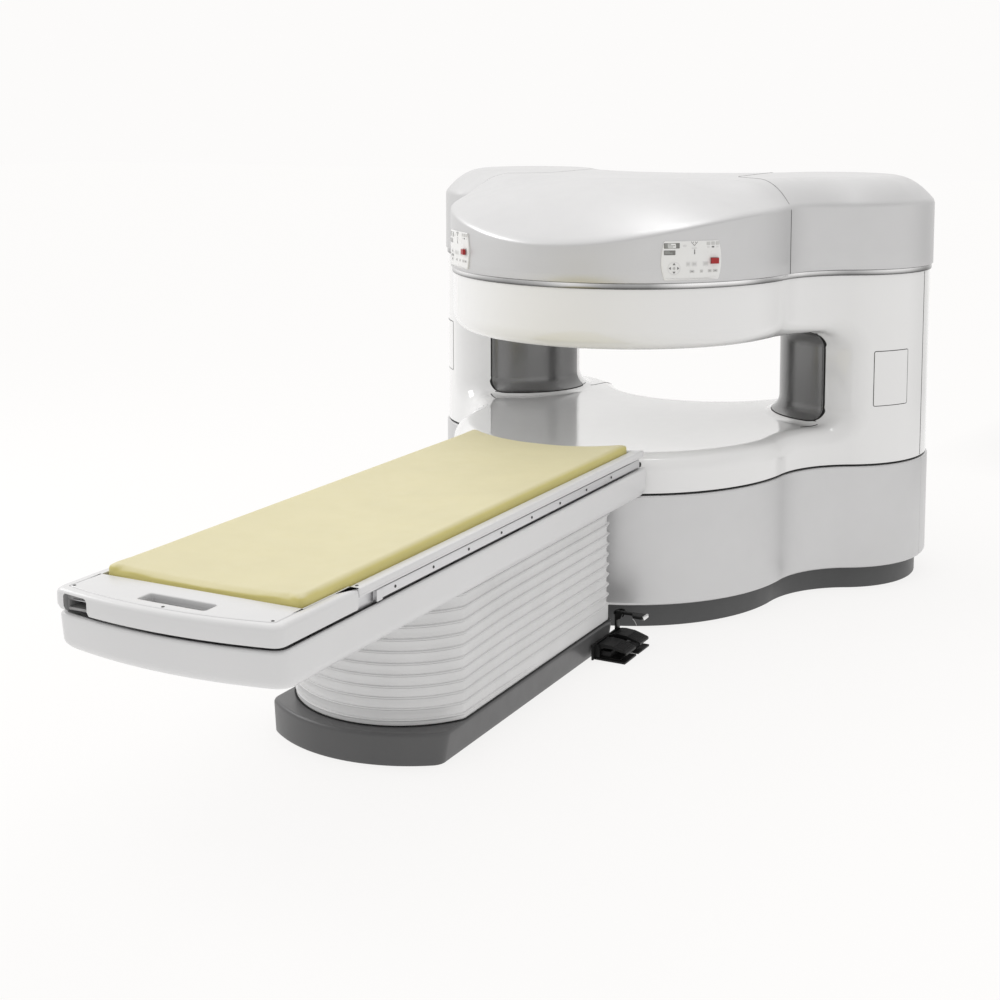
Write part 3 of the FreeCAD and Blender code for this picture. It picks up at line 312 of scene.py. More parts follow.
# --------------------------------------------------------------------------
# materials: every one is procedural
# --------------------------------------------------------------------------
def material(name, color, rough, metal=0.0, coat=0.0, coat_rough=0.05, var=0.03, var_scale=3.0, rough_var=0.04,
             rough_scale=14.0, bump=0.0, bump_scale=900.0, bump_dist=0.0004, spec=0.5, speck=0.0, sheen=0.0, second=None,
             stretch=(1, 1, 1), fine=None):
    m = bpy.data.materials.new(name)
    m.use_nodes = True
    nt = m.node_tree
    nt.nodes.clear()
    out = nt.nodes.new("ShaderNodeOutputMaterial")
    bsdf = nt.nodes.new("ShaderNodeBsdfPrincipled")
    nt.links.new(bsdf.outputs[0], out.inputs[0])
    bsdf.inputs["Metallic"].default_value = metal
    bsdf.inputs["Coat Weight"].default_value = coat
    bsdf.inputs["Coat Roughness"].default_value = coat_rough
    bsdf.inputs["Specular IOR Level"].default_value = spec
    bsdf.inputs["Sheen Weight"].default_value = sheen
    tc = nt.nodes.new("ShaderNodeTexCoord")
    mp = nt.nodes.new("ShaderNodeMapping")
    mp.inputs["Scale"].default_value = stretch
    nt.links.new(tc.outputs["Object"], mp.inputs["Vector"])
    co = mp.outputs["Vector"]

    def noise(scale, detail=3.0, ro=0.5):
        n = nt.nodes.new("ShaderNodeTexNoise")
        n.inputs["Scale"].default_value = scale
        n.inputs["Detail"].default_value = detail
        n.inputs["Roughness"].default_value = ro
        nt.links.new(co, n.inputs["Vector"])
        return n

    # colour: broad cloudiness and, for metallic paint, fine flakes
    big = noise(var_scale, 4.0, 0.55)
    ramp = nt.nodes.new("ShaderNodeMapRange")
    ramp.inputs["From Min"].default_value = 0.3
    ramp.inputs["From Max"].default_value = 0.7
    ramp.inputs["To Min"].default_value = 1.0 - var
    ramp.inputs["To Max"].default_value = 1.0 + var
    nt.links.new(big.outputs["Fac"], ramp.inputs["Value"])
    level = ramp.outputs["Result"]
    if speck > 0:
        fl = noise(2600.0, 1.0, 0.5)
        fr = nt.nodes.new("ShaderNodeMapRange")
        fr.inputs["From Min"].default_value = 0.35
        fr.inputs["From Max"].default_value = 0.65
        fr.inputs["To Min"].default_value = 1.0 - speck
        fr.inputs["To Max"].default_value = 1.0 + speck
        nt.links.new(fl.outputs["Fac"], fr.inputs["Value"])
        mul = nt.nodes.new("ShaderNodeMath")
        mul.operation = "MULTIPLY"
        nt.links.new(level, mul.inputs[0])
        nt.links.new(fr.outputs["Result"], mul.inputs[1])
        level = mul.outputs[0]
    base = nt.nodes.new("ShaderNodeMix")
    base.data_type = "RGBA"
    base.inputs["Factor"].default_value = 1.0
    base.blend_type = "MULTIPLY"
    if second is not None:
        sel = noise(second[1], 3.0, 0.6)
        sr = nt.nodes.new("ShaderNodeMapRange")
        sr.inputs["From Min"].default_value = 0.42
        sr.inputs["From Max"].default_value = 0.62
        nt.links.new(sel.outputs["Fac"], sr.inputs["Value"])
        cm = nt.nodes.new("ShaderNodeMix")
        cm.data_type = "RGBA"
        cm.inputs["A"].default_value = (*color, 1)
        cm.inputs["B"].default_value = (*second[0], 1)
        nt.links.new(sr.outputs["Result"], cm.inputs["Factor"])
        nt.links.new(cm.outputs["Result"], base.inputs["A"])
    else:
        base.inputs["A"].default_value = (*color, 1)
    comb = nt.nodes.new("ShaderNodeCombineColor")
    for k in range(3):
        nt.links.new(level, comb.inputs[k])
    nt.links.new(comb.outputs["Color"], base.inputs["B"])
    nt.links.new(base.outputs["Result"], bsdf.inputs["Base Color"])
    # roughness: handled, slightly uneven gloss
    rn = noise(rough_scale, 5.0, 0.6)
    rr = nt.nodes.new("ShaderNodeMapRange")
    rr.inputs["From Min"].default_value = 0.3
    rr.inputs["From Max"].default_value = 0.7
    rr.inputs["To Min"].default_value = max(0.02, rough - rough_var)
    rr.inputs["To Max"].default_value = min(1.0, rough + rough_var)
    nt.links.new(rn.outputs["Fac"], rr.inputs["Value"])
    nt.links.new(rr.outputs["Result"], bsdf.inputs["Roughness"])
    if bump > 0:
        bn = noise(bump_scale, 3.0, 0.5)
        height = bn.outputs["Fac"]
        if fine is not None:
            vo = nt.nodes.new("ShaderNodeTexVoronoi")
            vo.inputs["Scale"].default_value = fine
            nt.links.new(co, vo.inputs["Vector"])
            ad = nt.nodes.new("ShaderNodeMath")
            ad.operation = "ADD"
            nt.links.new(height, ad.inputs[0])
            nt.links.new(vo.outputs["Distance"], ad.inputs[1])
            height = ad.outputs[0]
        bp = nt.nodes.new("ShaderNodeBump")
        bp.inputs["Strength"].default_value = bump
        bp.inputs["Distance"].default_value = bump_dist
        nt.links.new(height, bp.inputs["Height"])
        nt.links.new(bp.outputs["Normal"], bsdf.inputs["Normal"])
    return m


MAT = {
    "white_gloss": material("white_shell", (0.775, 0.775, 0.772), 0.13, coat=1.0, coat_rough=0.035, var=0.012, var_scale=1.6,
                            rough_var=0.03, bump=0.05, bump_scale=160.0, bump_dist=0.0005),
    "silver_paint": material("silver_paint", (0.60, 0.60, 0.603), 0.41, metal=0.72, coat=0.14, coat_rough=0.32, var=0.02,
                             var_scale=2.0, speck=0.05, bump=0.06, bump_scale=1800.0, bump_dist=0.0001),
    "plinth_dark": material("plinth_satin", (0.060, 0.061, 0.062), 0.42, var=0.08, var_scale=5.0, bump=0.15, bump_scale=700.0),
    "insert_metal": material("insert_satin", (0.19, 0.19, 0.19), 0.26, metal=0.85, coat=0.15, var=0.02, var_scale=4.0, rough_var=0.012,
                             bump=0.03, bump_scale=1600.0, bump_dist=0.0001),
    "trim_metal": material("trim_polished", (0.62, 0.62, 0.62), 0.17, metal=1.0, var=0.04, var_scale=6.0, rough_var=0.05,
                           bump=0.05, bump_scale=500.0, bump_dist=0.0002),
    "panel_white": material("panel_satin", (0.78, 0.78, 0.77), 0.30, var=0.015, var_scale=20.0, bump=0.1, bump_scale=2500.0,
                            bump_dist=0.0001),
    "display_grey": material("display_window", (0.17, 0.17, 0.16), 0.12, coat=0.5, var=0.10, var_scale=60.0),
    "stop_red": material("stop_red", (0.34, 0.004, 0.006), 0.30, coat=0.05, var=0.05, var_scale=60.0),
    "yoke_iron": material("yoke_iron", (0.17, 0.17, 0.18), 0.55, metal=0.9, var=0.12, var_scale=9.0, bump=0.35, bump_scale=260.0,
                          second=((0.11, 0.10, 0.10), 7.0)),
    "magnet_steel": material("magnet_steel", (0.42, 0.42, 0.43), 0.34, metal=1.0, var=0.06, var_scale=8.0, bump=0.2,
                             bump_scale=300.0, stretch=(1, 1, 12)),
    "coil_resin": material("coil_resin", (0.42, 0.27, 0.09), 0.38, var=0.10, var_scale=12.0, bump=0.2, bump_scale=420.0,
                           second=((0.33, 0.20, 0.06), 16.0)),
    "foot_steel": material("foot_steel", (0.44, 0.44, 0.45), 0.33, metal=1.0, var=0.06, var_scale=30.0, bump=0.15,
                           bump_scale=600.0),
    "table_white": material("table_shell", (0.66, 0.66, 0.663), 0.33, coat=0.12, coat_rough=0.2, var=0.014, var_scale=2.5,
                            bump=0.12, bump_scale=1500.0, bump_dist=0.00015),
    "bellows_white": material("bellows_cloth", (0.665, 0.665, 0.665), 0.62, var=0.03, var_scale=6.0, bump=0.35, bump_scale=1500.0,
                              bump_dist=0.0003, fine=1400.0),
    "base_grey": material("base_satin", (0.086, 0.086, 0.087), 0.34, var=0.06, var_scale=4.0, bump=0.15, bump_scale=900.0,
                          spec=0.36, coat=0.08, coat_rough=0.25),
    "alloy": material("anodised_alloy", (0.66, 0.66, 0.67), 0.32, metal=0.85, var=0.03, var_scale=8.0, bump=0.12,
                      bump_scale=240.0, stretch=(30, 1, 30)),
    "steel_plate": material("steel_plate", (0.20, 0.20, 0.21), 0.5, metal=0.6, var=0.10, var_scale=10.0, bump=0.25,
                            bump_scale=300.0),
    "glide_black": material("glide_black", (0.020, 0.020, 0.020), 0.45, var=0.1, var_scale=20.0, bump=0.1, bump_scale=900.0),
    "screw_dark": material("screw_dark", (0.07, 0.07, 0.07), 0.35, metal=0.8, var=0.12, var_scale=200.0),
    "roller_black": material("roller_rubber", (0.012, 0.012, 0.012), 0.6, var=0.15, var_scale=60.0, bump=0.3, bump_scale=900.0),
    "motor_grey": material("motor_grey", (0.21, 0.21, 0.22), 0.5, metal=0.3, var=0.08, var_scale=14.0, bump=0.3,
                           bump_scale=400.0),
    "vinyl_yellow": material("vinyl_yellow", (0.655, 0.60, 0.355), 0.50, var=0.022, var_scale=5.0, rough_var=0.05, sheen=0.12,
                             bump=0.30, bump_scale=620.0, bump_dist=0.0004, fine=1100.0),
    "pedal_black": material("pedal_black", (0.008, 0.008, 0.008), 0.42, spec=0.22, var=0.15, var_scale=30.0, bump=0.25, bump_scale=1100.0),
    "tip_chrome": material("tip_chrome", (0.78, 0.78, 0.78), 0.10, metal=1.0, var=0.03, var_scale=60.0),
}


# polished band whose colour carries painted reflections
def trim_reflection_material():
    m = bpy.data.materials.new("trim_strip_painted_reflection")
    m.use_nodes = True
    nt = m.node_tree
    bsdf = nt.nodes["Principled BSDF"]
    bsdf.inputs["Metallic"].default_value = 1.0
    tc = nt.nodes.new("ShaderNodeTexCoord")
    sx = nt.nodes.new("ShaderNodeSeparateXYZ")
    nt.links.new(tc.outputs["Object"], sx.inputs[0])
    up = nt.nodes.new("ShaderNodeMapRange")
    up.inputs["From Min"].default_value = 1.436
    up.inputs["From Max"].default_value = 1.461
    nt.links.new(sx.outputs[2], up.inputs["Value"])
    # painted reflection: near black at the band's lower edge, rising to bright at its upper edge
    ramp = nt.nodes.new("ShaderNodeValToRGB")
    e = ramp.color_ramp.elements
    e[0].position, e[0].color = 0.0, (0.06, 0.06, 0.06, 1)
    e[1].position, e[1].color = 1.0, (0.55, 0.55, 0.55, 1)
    for pos, v in ((0.14, 0.16), (0.34, 0.40), (0.58, 0.62), (0.86, 0.78)):
        k = e.new(pos)
        k.color = (v, v, v, 1)
    nt.links.new(up.outputs["Result"], ramp.inputs["Fac"])
    # painted reflection: long soft brighter and darker bands along the strip
    mp = nt.nodes.new("ShaderNodeMapping")
    mp.inputs["Scale"].default_value = (1.0, 1.0, 0.0)
    nt.links.new(tc.outputs["Object"], mp.inputs["Vector"])
    no = nt.nodes.new("ShaderNodeTexNoise")
    no.inputs["Scale"].default_value = 2.3
    no.inputs["Detail"].default_value = 1.0
    nt.links.new(mp.outputs["Vector"], no.inputs["Vector"])
    mr = nt.nodes.new("ShaderNodeMapRange")
    mr.inputs["From Min"].default_value = 0.35
    mr.inputs["From Max"].default_value = 0.65
    mr.inputs["To Min"].default_value = 0.55
    mr.inputs["To Max"].default_value = 1.45
    nt.links.new(no.outputs["Fac"], mr.inputs["Value"])
    mx = nt.nodes.new("ShaderNodeVectorMath")
    mx.operation = "SCALE"
    nt.links.new(ramp.outputs["Color"], mx.inputs[0])
    nt.links.new(mr.outputs["Result"], mx.inputs["Scale"])
    nt.links.new(mx.outputs[0], bsdf.inputs["Base Color"])
    rn = nt.nodes.new("ShaderNodeTexNoise")
    rn.inputs["Scale"].default_value = 120.0
    nt.links.new(tc.outputs["Object"], rn.inputs["Vector"])
    rr = nt.nodes.new("ShaderNodeMapRange")
    rr.inputs["To Min"].default_value = 0.16
    rr.inputs["To Max"].default_value = 0.28
    nt.links.new(rn.outputs["Fac"], rr.inputs["Value"])
    nt.links.new(rr.outputs["Result"], bsdf.inputs["Roughness"])
    return m


MAT["trim_metal"] = trim_reflection_material()


def paint_side_shade(m, tint, start, end):
    # painted shade: the colour turns darker and fuller where the pad rolls over to its sides, where less light falls
    nt = m.node_tree
    bsdf = [n for n in nt.nodes if n.type == "BSDF_PRINCIPLED"][0]
    src = bsdf.inputs["Base Color"].links[0].from_socket
    geo = nt.nodes.new("ShaderNodeNewGeometry")
    sep = nt.nodes.new("ShaderNodeSeparateXYZ")
    nt.links.new(geo.outputs["Normal"], sep.inputs[0])
    mr = nt.nodes.new("ShaderNodeMapRange")
    mr.inputs["From Min"].default_value = start
    mr.inputs["From Max"].default_value = end
    mr.inputs["To Min"].default_value = 1.0
    mr.inputs["To Max"].default_value = 0.0
    nt.links.new(sep.outputs[2], mr.inputs["Value"])
    side_shaded = nt.nodes.new("ShaderNodeVectorMath")
    side_shaded.operation = "MULTIPLY"
    nt.links.new(src, side_shaded.inputs[0])
    side_shaded.inputs[1].default_value = tint
    mix = nt.nodes.new("ShaderNodeMix")
    mix.data_type = "VECTOR"
    nt.links.new(mr.outputs["Result"], mix.inputs["Factor"])
    vec = {q.identifier: q for q in mix.inputs}
    nt.links.new(src, vec["A_Vector"])
    nt.links.new(side_shaded.outputs[0], vec["B_Vector"])
    nt.links.new([q for q in mix.outputs if q.type == "VECTOR"][0], bsdf.inputs["Base Color"])


# painted shade on the mattress's sides and underside
paint_side_shade(MAT["vinyl_yellow"], (0.93, 0.90, 0.52), 0.45, 0.97)
M_GAP = material("joint_shadow", (0.006, 0.006, 0.006), 0.8, var=0.2, var_scale=40.0)
M_KEY = material("key_grey", (0.56, 0.56, 0.55), 0.35, var=0.03, var_scale=50.0)
M_KEYLINE = material("key_print", (0.16, 0.16, 0.16), 0.4, var=0.05, var_scale=50.0)
M_LCD = material("display_face", (0.33, 0.34, 0.32), 0.12, coat=0.6, var=0.08, var_scale=90.0)
M_DISHED = material("key_light", (0.68, 0.68, 0.675), 0.3, var=0.02, var_scale=50.0)
# painted shade for the inner faces of recesses
M_RECESS_SHADE = material("recess_painted_shade", (0.34, 0.34, 0.34), 0.5, var=0.06, var_scale=30.0)
M_EDGE = material("lever_edge", (0.45, 0.45, 0.45), 0.3, metal=0.8, var=0.05, var_scale=40.0)

SLOT_OF = {s["node"]: s.get("material_slot") for s in frame["record"]["subparts"]}
for node, ob in frame["nodes"].items():
    ob.data.materials.clear()
    ob.data.materials.append(MAT.get(SLOT_OF.get(node), MAT["alloy"]))
    soften(ob, 30.0)


# --------------------------------------------------------------------------
# the gantry's outline: six tangent arcs
# --------------------------------------------------------------------------
def make_arcs():
    r1, r2 = DISC + VALLEY, LOBE_R + VALLEY
    dist = float(np.linalg.norm(LOBE))
    a = (r1 ** 2 - r2 ** 2 + dist ** 2) / (2 * dist)
    h = math.sqrt(r1 ** 2 - a ** 2)
    u = LOBE / dist
    valley = np.array([u[0] * a + u[1] * h, u[1] * a - u[0] * h])
    rear = np.array([0.0, LOBE[1] + math.sqrt((LOBE_R + REAR_R) ** 2 - LOBE[0] ** 2)])
    o = np.zeros(2)
    lobe, left, vleft = LOBE, LOBE * (-1, 1), valley * (-1, 1)

    def an(v):
        return math.atan2(v[1], v[0])

    return [
        (o, DISC, an(vleft), an(valley) + (TAU if an(valley) < an(vleft) else 0), 0),
        (valley, VALLEY, an(lobe - valley), an(o - valley), 1),
        (lobe, LOBE_R, an(valley - lobe), an(rear - lobe), 0),
        (rear, REAR_R, an(left - rear), an(lobe - rear), 1),
        (left, LOBE_R, an(rear - left), an(vleft - left) + TAU, 0),
        (vleft, VALLEY, an(o - vleft), an(left - vleft), 1),
    ]


ARCS = make_arcs()


def outline(step=0.012):
    # points round the outline, counterclockwise from the left valley, with inward normals
    pts, nrm = [], []
    for c, r, a0, a1, concave in ARCS:
        n = max(6, int(round(r * abs(a1 - a0) / step)))
        for i in range(n):
            t = i / n
            a = a1 + (a0 - a1) * t if concave else a0 + (a1 - a0) * t
            d = np.array([math.cos(a), math.sin(a)])
            pts.append(c + d * r)
            nrm.append(d if concave else -d)
    return np.array(pts), np.array(nrm)


OUT_P, OUT_N = outline(0.012)
POLY = outline(0.008)[0]


def dist2(x, y):
    # signed distance to the outline in plan, negative inside
    x, y = np.asarray(x, float), np.asarray(y, float)
    best = np.full(x.shape, 1e9)
    for c, r, a0, a1, concave in ARCS:
        dx, dy = x - c[0], y - c[1]
        rad = np.hypot(dx, dy)
        span = abs(a1 - a0)
        lo = min(a0, a1)
        inr = np.mod(np.arctan2(dy, dx) - lo, TAU) <= span
        d = np.abs(rad - r)
        for e in (a0, a1):
            px, py = c[0] + r * math.cos(e), c[1] + r * math.sin(e)
            de = np.hypot(x - px, y - py)
            d = np.where(inr, d, np.minimum(np.where(inr, 1e9, de), 1e9) if e == a0 else np.minimum(d, de))
        best = np.minimum(best, d)
    inside = np.zeros(x.shape, bool)
    xa, ya = POLY[:, 0], POLY[:, 1]
    xb, yb = np.roll(xa, -1), np.roll(ya, -1)
    for i in range(len(xa)):
        cond = (ya[i] > y) != (yb[i] > y)
        if not cond.any():
            continue
        xi = xa[i] + (y - ya[i]) * (xb[i] - xa[i]) / (yb[i] - ya[i] + 1e-300)
        inside ^= cond & (x < xi)
    near = best < 0.004
    if near.any():
        # close to the wall the sign comes from the arcs themselves, not from the polygon
        sgn = np.where(inside, -1.0, 1.0)
        bd = np.full(x.shape, 1e9)
        for c, r, a0, a1, concave in ARCS:
            dx, dy = x - c[0], y - c[1]
            rad = np.hypot(dx, dy)
            inr = np.mod(np.arctan2(dy, dx) - min(a0, a1), TAU) <= abs(a1 - a0)
            d = np.where(inr, np.abs(rad - r), 1e9)
            s = np.sign(rad - r) * (-1.0 if concave else 1.0)
            take = d < bd
            bd = np.where(take, d, bd)
            sgn = np.where(take & near & (d < 0.004), np.where(s == 0, 1.0, s), sgn)
        return best * sgn
    return np.where(inside, -best, best)


# --------------------------------------------------------------------------
# rings: a profile of (inset, height) carried round the outline
# --------------------------------------------------------------------------
def ring(name, profile, mat, slot, node, keep=None, angle=35.0, build=None):
    # keep: None for the whole ring, "front" or "rear" for one side of the parting plane
    pts, nrm = OUT_P, OUT_N
    closed = True
    if keep:
        n = len(pts)
        gap = 0.0006
        lim = SPLIT - gap if keep == "front" else SPLIT + gap
        ok = (pts[:, 1] < lim) if keep == "front" else (pts[:, 1] > lim)
        start = [i for i in range(n) if ok[i] and not ok[i - 1]][0]
        seq, i = [], start
        while ok[i % n]:
            seq.append(i % n)
            i += 1

        def cross(a, b):
            t = (lim - pts[a, 1]) / (pts[b, 1] - pts[a, 1])
            q, m = pts[a] + (pts[b] - pts[a]) * t, nrm[a] + (nrm[b] - nrm[a]) * t
            return q, m / np.linalg.norm(m)

        q0, m0 = cross(seq[0] - 1, seq[0])
        q1, m1 = cross(seq[-1], (seq[-1] + 1) % n)
        pts = np.vstack([q0[None], pts[seq], q1[None]])
        nrm = np.vstack([m0[None], nrm[seq], m1[None]])
        closed = False
    rows, cols = len(pts), len(profile)
    verts = []
    for p, m in zip(pts, nrm):
        for inset, z in profile:
            q = p + m * inset
            verts.append((q[0], q[1], z))
    faces = grid_faces(rows, cols, wrap_r=closed, wrap_c=True)
    if not closed:
        faces.append(tuple(range(cols)))
        faces.append(tuple((rows - 1) * cols + k for k in reversed(range(cols))))
    b = Build()
    b.add(verts, faces)
    ob = b.make(name, mat, "frame", slot, angle)
    if node:
        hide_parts(node)
    return ob


# dark kick ring
ring("gantry_plinth_ring", fillet_profile([(PLINTH_IN, 0.0), (PLINTH_IN, Z_PLINTH), (PLINTH_IN + 0.05, Z_PLINTH), (PLINTH_IN + 0.05, 0.0)],
                                          [0.004, 0.010, 0.0, 0.0], 4), MAT["plinth_dark"], "plinth_dark", "gantry_plinth")
# silver skirt, two halves, its rims rolled inward
skirt_prof = fillet_profile([(SKIRT_IN, Z_PLINTH + 0.002), (SKIRT_IN, Z_SKIRT), (SKIRT_IN + 0.036, Z_SKIRT), (SKIRT_IN + 0.036, Z_SKIRT - 0.010),
                             (SKIRT_IN + 0.008, Z_SKIRT - 0.016), (SKIRT_IN + 0.008, Z_PLINTH + 0.012), (SKIRT_IN + 0.060, Z_PLINTH + 0.012),
                             (SKIRT_IN + 0.060, Z_PLINTH + 0.002)],
                            [0.016, 0.009, 0.003, 0.002, 0.004, 0.004, 0.002, 0.003], 5)
ring("gantry_skirt_front", skirt_prof, MAT["silver_paint"], "silver_paint", "skirt_front", "front")
ring("gantry_skirt_rear", skirt_prof, MAT["silver_paint"], "silver_paint", "skirt_rear", "rear")
# black joint between skirt and white body
ring("body_joint_ring", fillet_profile([(BODY_IN + 0.006, Z_SKIRT - 0.006), (BODY_IN + 0.006, Z_BODY + 0.004),
                                        (BODY_IN + 0.030, Z_BODY + 0.004), (BODY_IN + 0.030, Z_SKIRT - 0.006)], 0.001, 1),
     M_GAP, "glide_black", None)
# bright trim band with a slight crown and a shadow line at each side
band_prof = [(BAND_IN + 0.010, Z_BAND + 0.0005), (BAND_IN + 0.003, Z_BAND + 0.0005), (BAND_IN + 0.0012, Z_BAND + 0.002),
             (BAND_IN + 0.0003, Z_BAND + 0.006), (BAND_IN, Z_BAND + 0.0125), (BAND_IN + 0.0003, Z_CAP - 0.006),
             (BAND_IN + 0.0012, Z_CAP - 0.002), (BAND_IN + 0.003, Z_CAP - 0.0005), (BAND_IN + 0.010, Z_CAP - 0.0005)]
ring("gantry_trim_band", band_prof, MAT["trim_metal"], "trim_metal", "trim_band")


# --------------------------------------------------------------------------
# the white body: one flowing surface over both poles and both columns
# --------------------------------------------------------------------------
def r_union(a, b, r):
    u, v = np.maximum(r - a, 0), np.maximum(r - b, 0)
    return np.maximum(r, np.minimum(a, b)) - np.sqrt(u * u + v * v)


def r_isect(a, b, r):
    u, v = np.maximum(r + a, 0), np.maximum(r + b, 0)
    return np.minimum(-r, np.maximum(a, b)) + np.sqrt(u * u + v * v)


FILLET, RIM = 0.085, 0.085
F_PT, G_PT = (0.8623, 0.3134), (0.8623, 0.9526)


def column2(x, y):
    ax = np.abs(x)
    post = np.hypot(ax - POST[0], y - POST[1]) - POST_R
    n1, n2 = (-0.4604, -0.8877), (-0.5295, 0.8483)
    wedge = np.maximum((ax - F_PT[0]) * n1[0] + (y - F_PT[1]) * n1[1], (ax - G_PT[0]) * n2[0] + (y - G_PT[1]) * n2[1])
    wedge = np.maximum(wedge, 0.870 - ax)
    return r_union(post, wedge, 0.05)


def body_field(D, C, z):
    s = r_union(z - Z_POLE, C, FILLET)
    s = r_union(s, Z_GAP - z, FILLET)
    return r_isect(s, D, RIM)


def body_at(p):
    return body_field(dist2(p[:, 0], p[:, 1]) + BODY_IN, column2(p[:, 0], p[:, 1]), p[:, 2])


def body_grad(p, eps=0.0006):
    g = np.empty_like(p)
    for k in range(3):
        a, b = p.copy(), p.copy()
        a[:, k] += eps
        b[:, k] -= eps
        g[:, k] = (body_at(a) - body_at(b)) / (2 * eps)
    return g


def settle(p, steps=4, hold_z=None):
    # moves points onto the surface along its gradient
    for _ in range(steps):
        f = body_at(p)
        g = body_grad(p)
        if hold_z is not None:
            g[hold_z, 2] = 0.0
        p = p - g * (f / np.maximum((g * g).sum(1), 1e-9))[:, None]
    return p


def surface_net(F, origin, h):
    nx, ny, nz = F.shape
    s = F < 0
    c = [s[i:nx - 1 + i, j:ny - 1 + j, k:nz - 1 + k] for i in (0, 1) for j in (0, 1) for k in (0, 1)]
    allc, anyc = c[0].copy(), c[0].copy()
    for q in c[1:]:
        allc &= q
        anyc |= q
    active = anyc & ~allc
    idx = -np.ones(active.shape, np.int64)
    cells = np.argwhere(active)
    idx[active] = np.arange(len(cells))
    acc = np.zeros((len(cells), 3))
    cnt = np.zeros(len(cells))
    corners = [(i, j, k) for i in (0, 1) for j in (0, 1) for k in (0, 1)]
    val = {q: F[cells[:, 0] + q[0], cells[:, 1] + q[1], cells[:, 2] + q[2]] for q in corners}
    for a in corners:
        for ax in range(3):
            if a[ax]:
                continue
            b = list(a)
            b[ax] = 1
            b = tuple(b)
            fa, fb = val[a], val[b]
            cross = (fa < 0) != (fb < 0)
            t = np.where(cross, fa / np.where(cross, fa - fb, 1), 0)
            pos = np.tile(np.array(a, float), (len(cells), 1))
            pos[:, ax] += t
            acc[cross] += pos[cross]
            cnt[cross] += 1
    verts = origin + (cells + acc / cnt[:, None]) * h
    quads = []
    for ax in range(3):
        sl0 = [slice(None)] * 3
        sl1 = [slice(None)] * 3
        sl0[ax], sl1[ax] = slice(0, -1), slice(1, None)
        a, b = s[tuple(sl0)], s[tuple(sl1)]
        flips = np.argwhere(a != b)
        u, w = [(1, 2), (2, 0), (0, 1)][ax]
        lim = np.array(active.shape)
        ok = (flips[:, u] > 0) & (flips[:, w] > 0) & (flips[:, u] < lim[u]) & (flips[:, w] < lim[w])
        flips = flips[ok]
        inside_first = a[tuple(flips.T)]

        def at(du, dw):
            q = flips.copy()
            q[:, u] += du
            q[:, w] += dw
            return idx[tuple(q.T)]

        q = np.stack([at(-1, -1), at(0, -1), at(0, 0), at(-1, 0)], 1)
        q[~inside_first] = q[~inside_first][:, ::-1]
        quads.append(q)
    return verts, np.vstack(quads)


def body_half(name, z_lo, z_hi, cap_lo, nodes):
    # one half of the white body, meshed on a fine grid and pulled onto the exact surface
    h = 0.0105
    nzc = int(round((z_hi - z_lo) / h))
    hz = (z_hi - z_lo) / nzc
    xs = np.arange(-1.26, 1.26 + h, h)
    ys = np.arange(-0.82, 1.12 + h, h)
    zs = z_lo + (np.arange(nzc + 1)) * hz
    X, Y = np.meshgrid(xs, ys, indexing="ij")
    D = dist2(X, Y) + BODY_IN
    C = column2(X, Y)
    F = body_field(D[:, :, None], C[:, :, None], zs[None, None, :])
    verts, quads = surface_net(F, np.array([xs[0], ys[0], z_lo]), np.array([h, h, hz]))
    verts = settle(verts, 4)
    # the open rims are drawn out to the exact end planes
    for z_end in (z_lo, z_hi):
        edge = np.abs(verts[:, 2] - z_end) < hz * 0.75
        verts[edge, 2] = z_end
        hold = np.zeros(len(verts), bool)
        hold[edge] = True
        verts = settle(verts, 3, hold)
    norm = body_grad(verts)
    norm /= np.linalg.norm(norm, axis=1)[:, None]
    bm = bmesh.new()
    bvs = [bm.verts.new(v) for v in verts]
    for q in quads.tolist():
        if -1 in q:
            continue
        try:
            bm.faces.new([bvs[i] for i in q])
        except ValueError:
            pass
    bm.verts.index_update()
    # the hidden end gets a return lip so that the shell has thickness
    z_cap = z_lo if cap_lo else z_hi
    rim = [e for e in bm.edges if len(e.link_faces) == 1 and abs(e.verts[0].co.z - z_cap) < 1e-6 and abs(e.verts[1].co.z - z_cap) < 1e-6]
    got = bmesh.ops.extrude_edge_only(bm, edges=rim)
    fresh = [g for g in got["geom"] if isinstance(g, bmesh.types.BMVert)]
    lip = np.array([v.co[:] for v in fresh])
    g = body_grad(lip)
    g[:, 2] = 0
    g /= np.linalg.norm(g, axis=1)[:, None]
    for v, q in zip(fresh, g):
        v.co.x -= q[0] * 0.020
        v.co.y -= q[1] * 0.020
    n_body = len(verts)
    me = bpy.data.meshes.new(name)
    bm.to_mesh(me)
    bm.free()
    me.materials.append(MAT["white_gloss"])
    me.polygons.foreach_set("use_smooth", np.ones(len(me.polygons), bool))
    me.update()
    # exact surface normals keep the long reflections clean
    loops = np.empty(len(me.loops), np.int64)
    me.loops.foreach_get("vertex_index", loops)
    ln = np.zeros((len(loops), 3))
    own = loops < n_body
    ln[own] = norm[loops[own]]
    ln[~own] = (0, 0, -1 if cap_lo else 1)
    lips = [p for p in me.polygons if any(loops[i] >= n_body for i in p.loop_indices)]
    for p in lips:
        for i in p.loop_indices:
            ln[i] = (0, 0, -1 if cap_lo else 1)
    me.normals_split_custom_set(ln.tolist())
    ob = bpy.data.objects.new(name, me)
    bpy.context.scene.collection.objects.link(ob)
    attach(ob, "frame")
    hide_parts(*nodes)
    return ob


Z_MID = (Z_POLE + Z_GAP) / 2
low_half = body_half("gantry_body_lower", Z_BODY, Z_MID, True, ["lower_cover", "column_cover_left", "column_cover_right"])
up_half = body_half("gantry_body_upper", Z_MID, Z_BAND, False, ["upper_cover", "rear_cover_left", "rear_cover_right"])


def on_body(p, steps=8):
    return settle(np.atleast_2d(np.array(p, float)), steps)


# joints in the white body, drawn as thin dark beads sunk in the surface
seams = Build()


def body_seam(path, radius=0.0022, sink=0.0008, closed=False):
    p = settle(np.array(path, float), 8)
    g = body_grad(p)
    g /= np.linalg.norm(g, axis=1)[:, None]
    p = p - g * sink
    seams.add(*tube(p, radius, 6, closed))


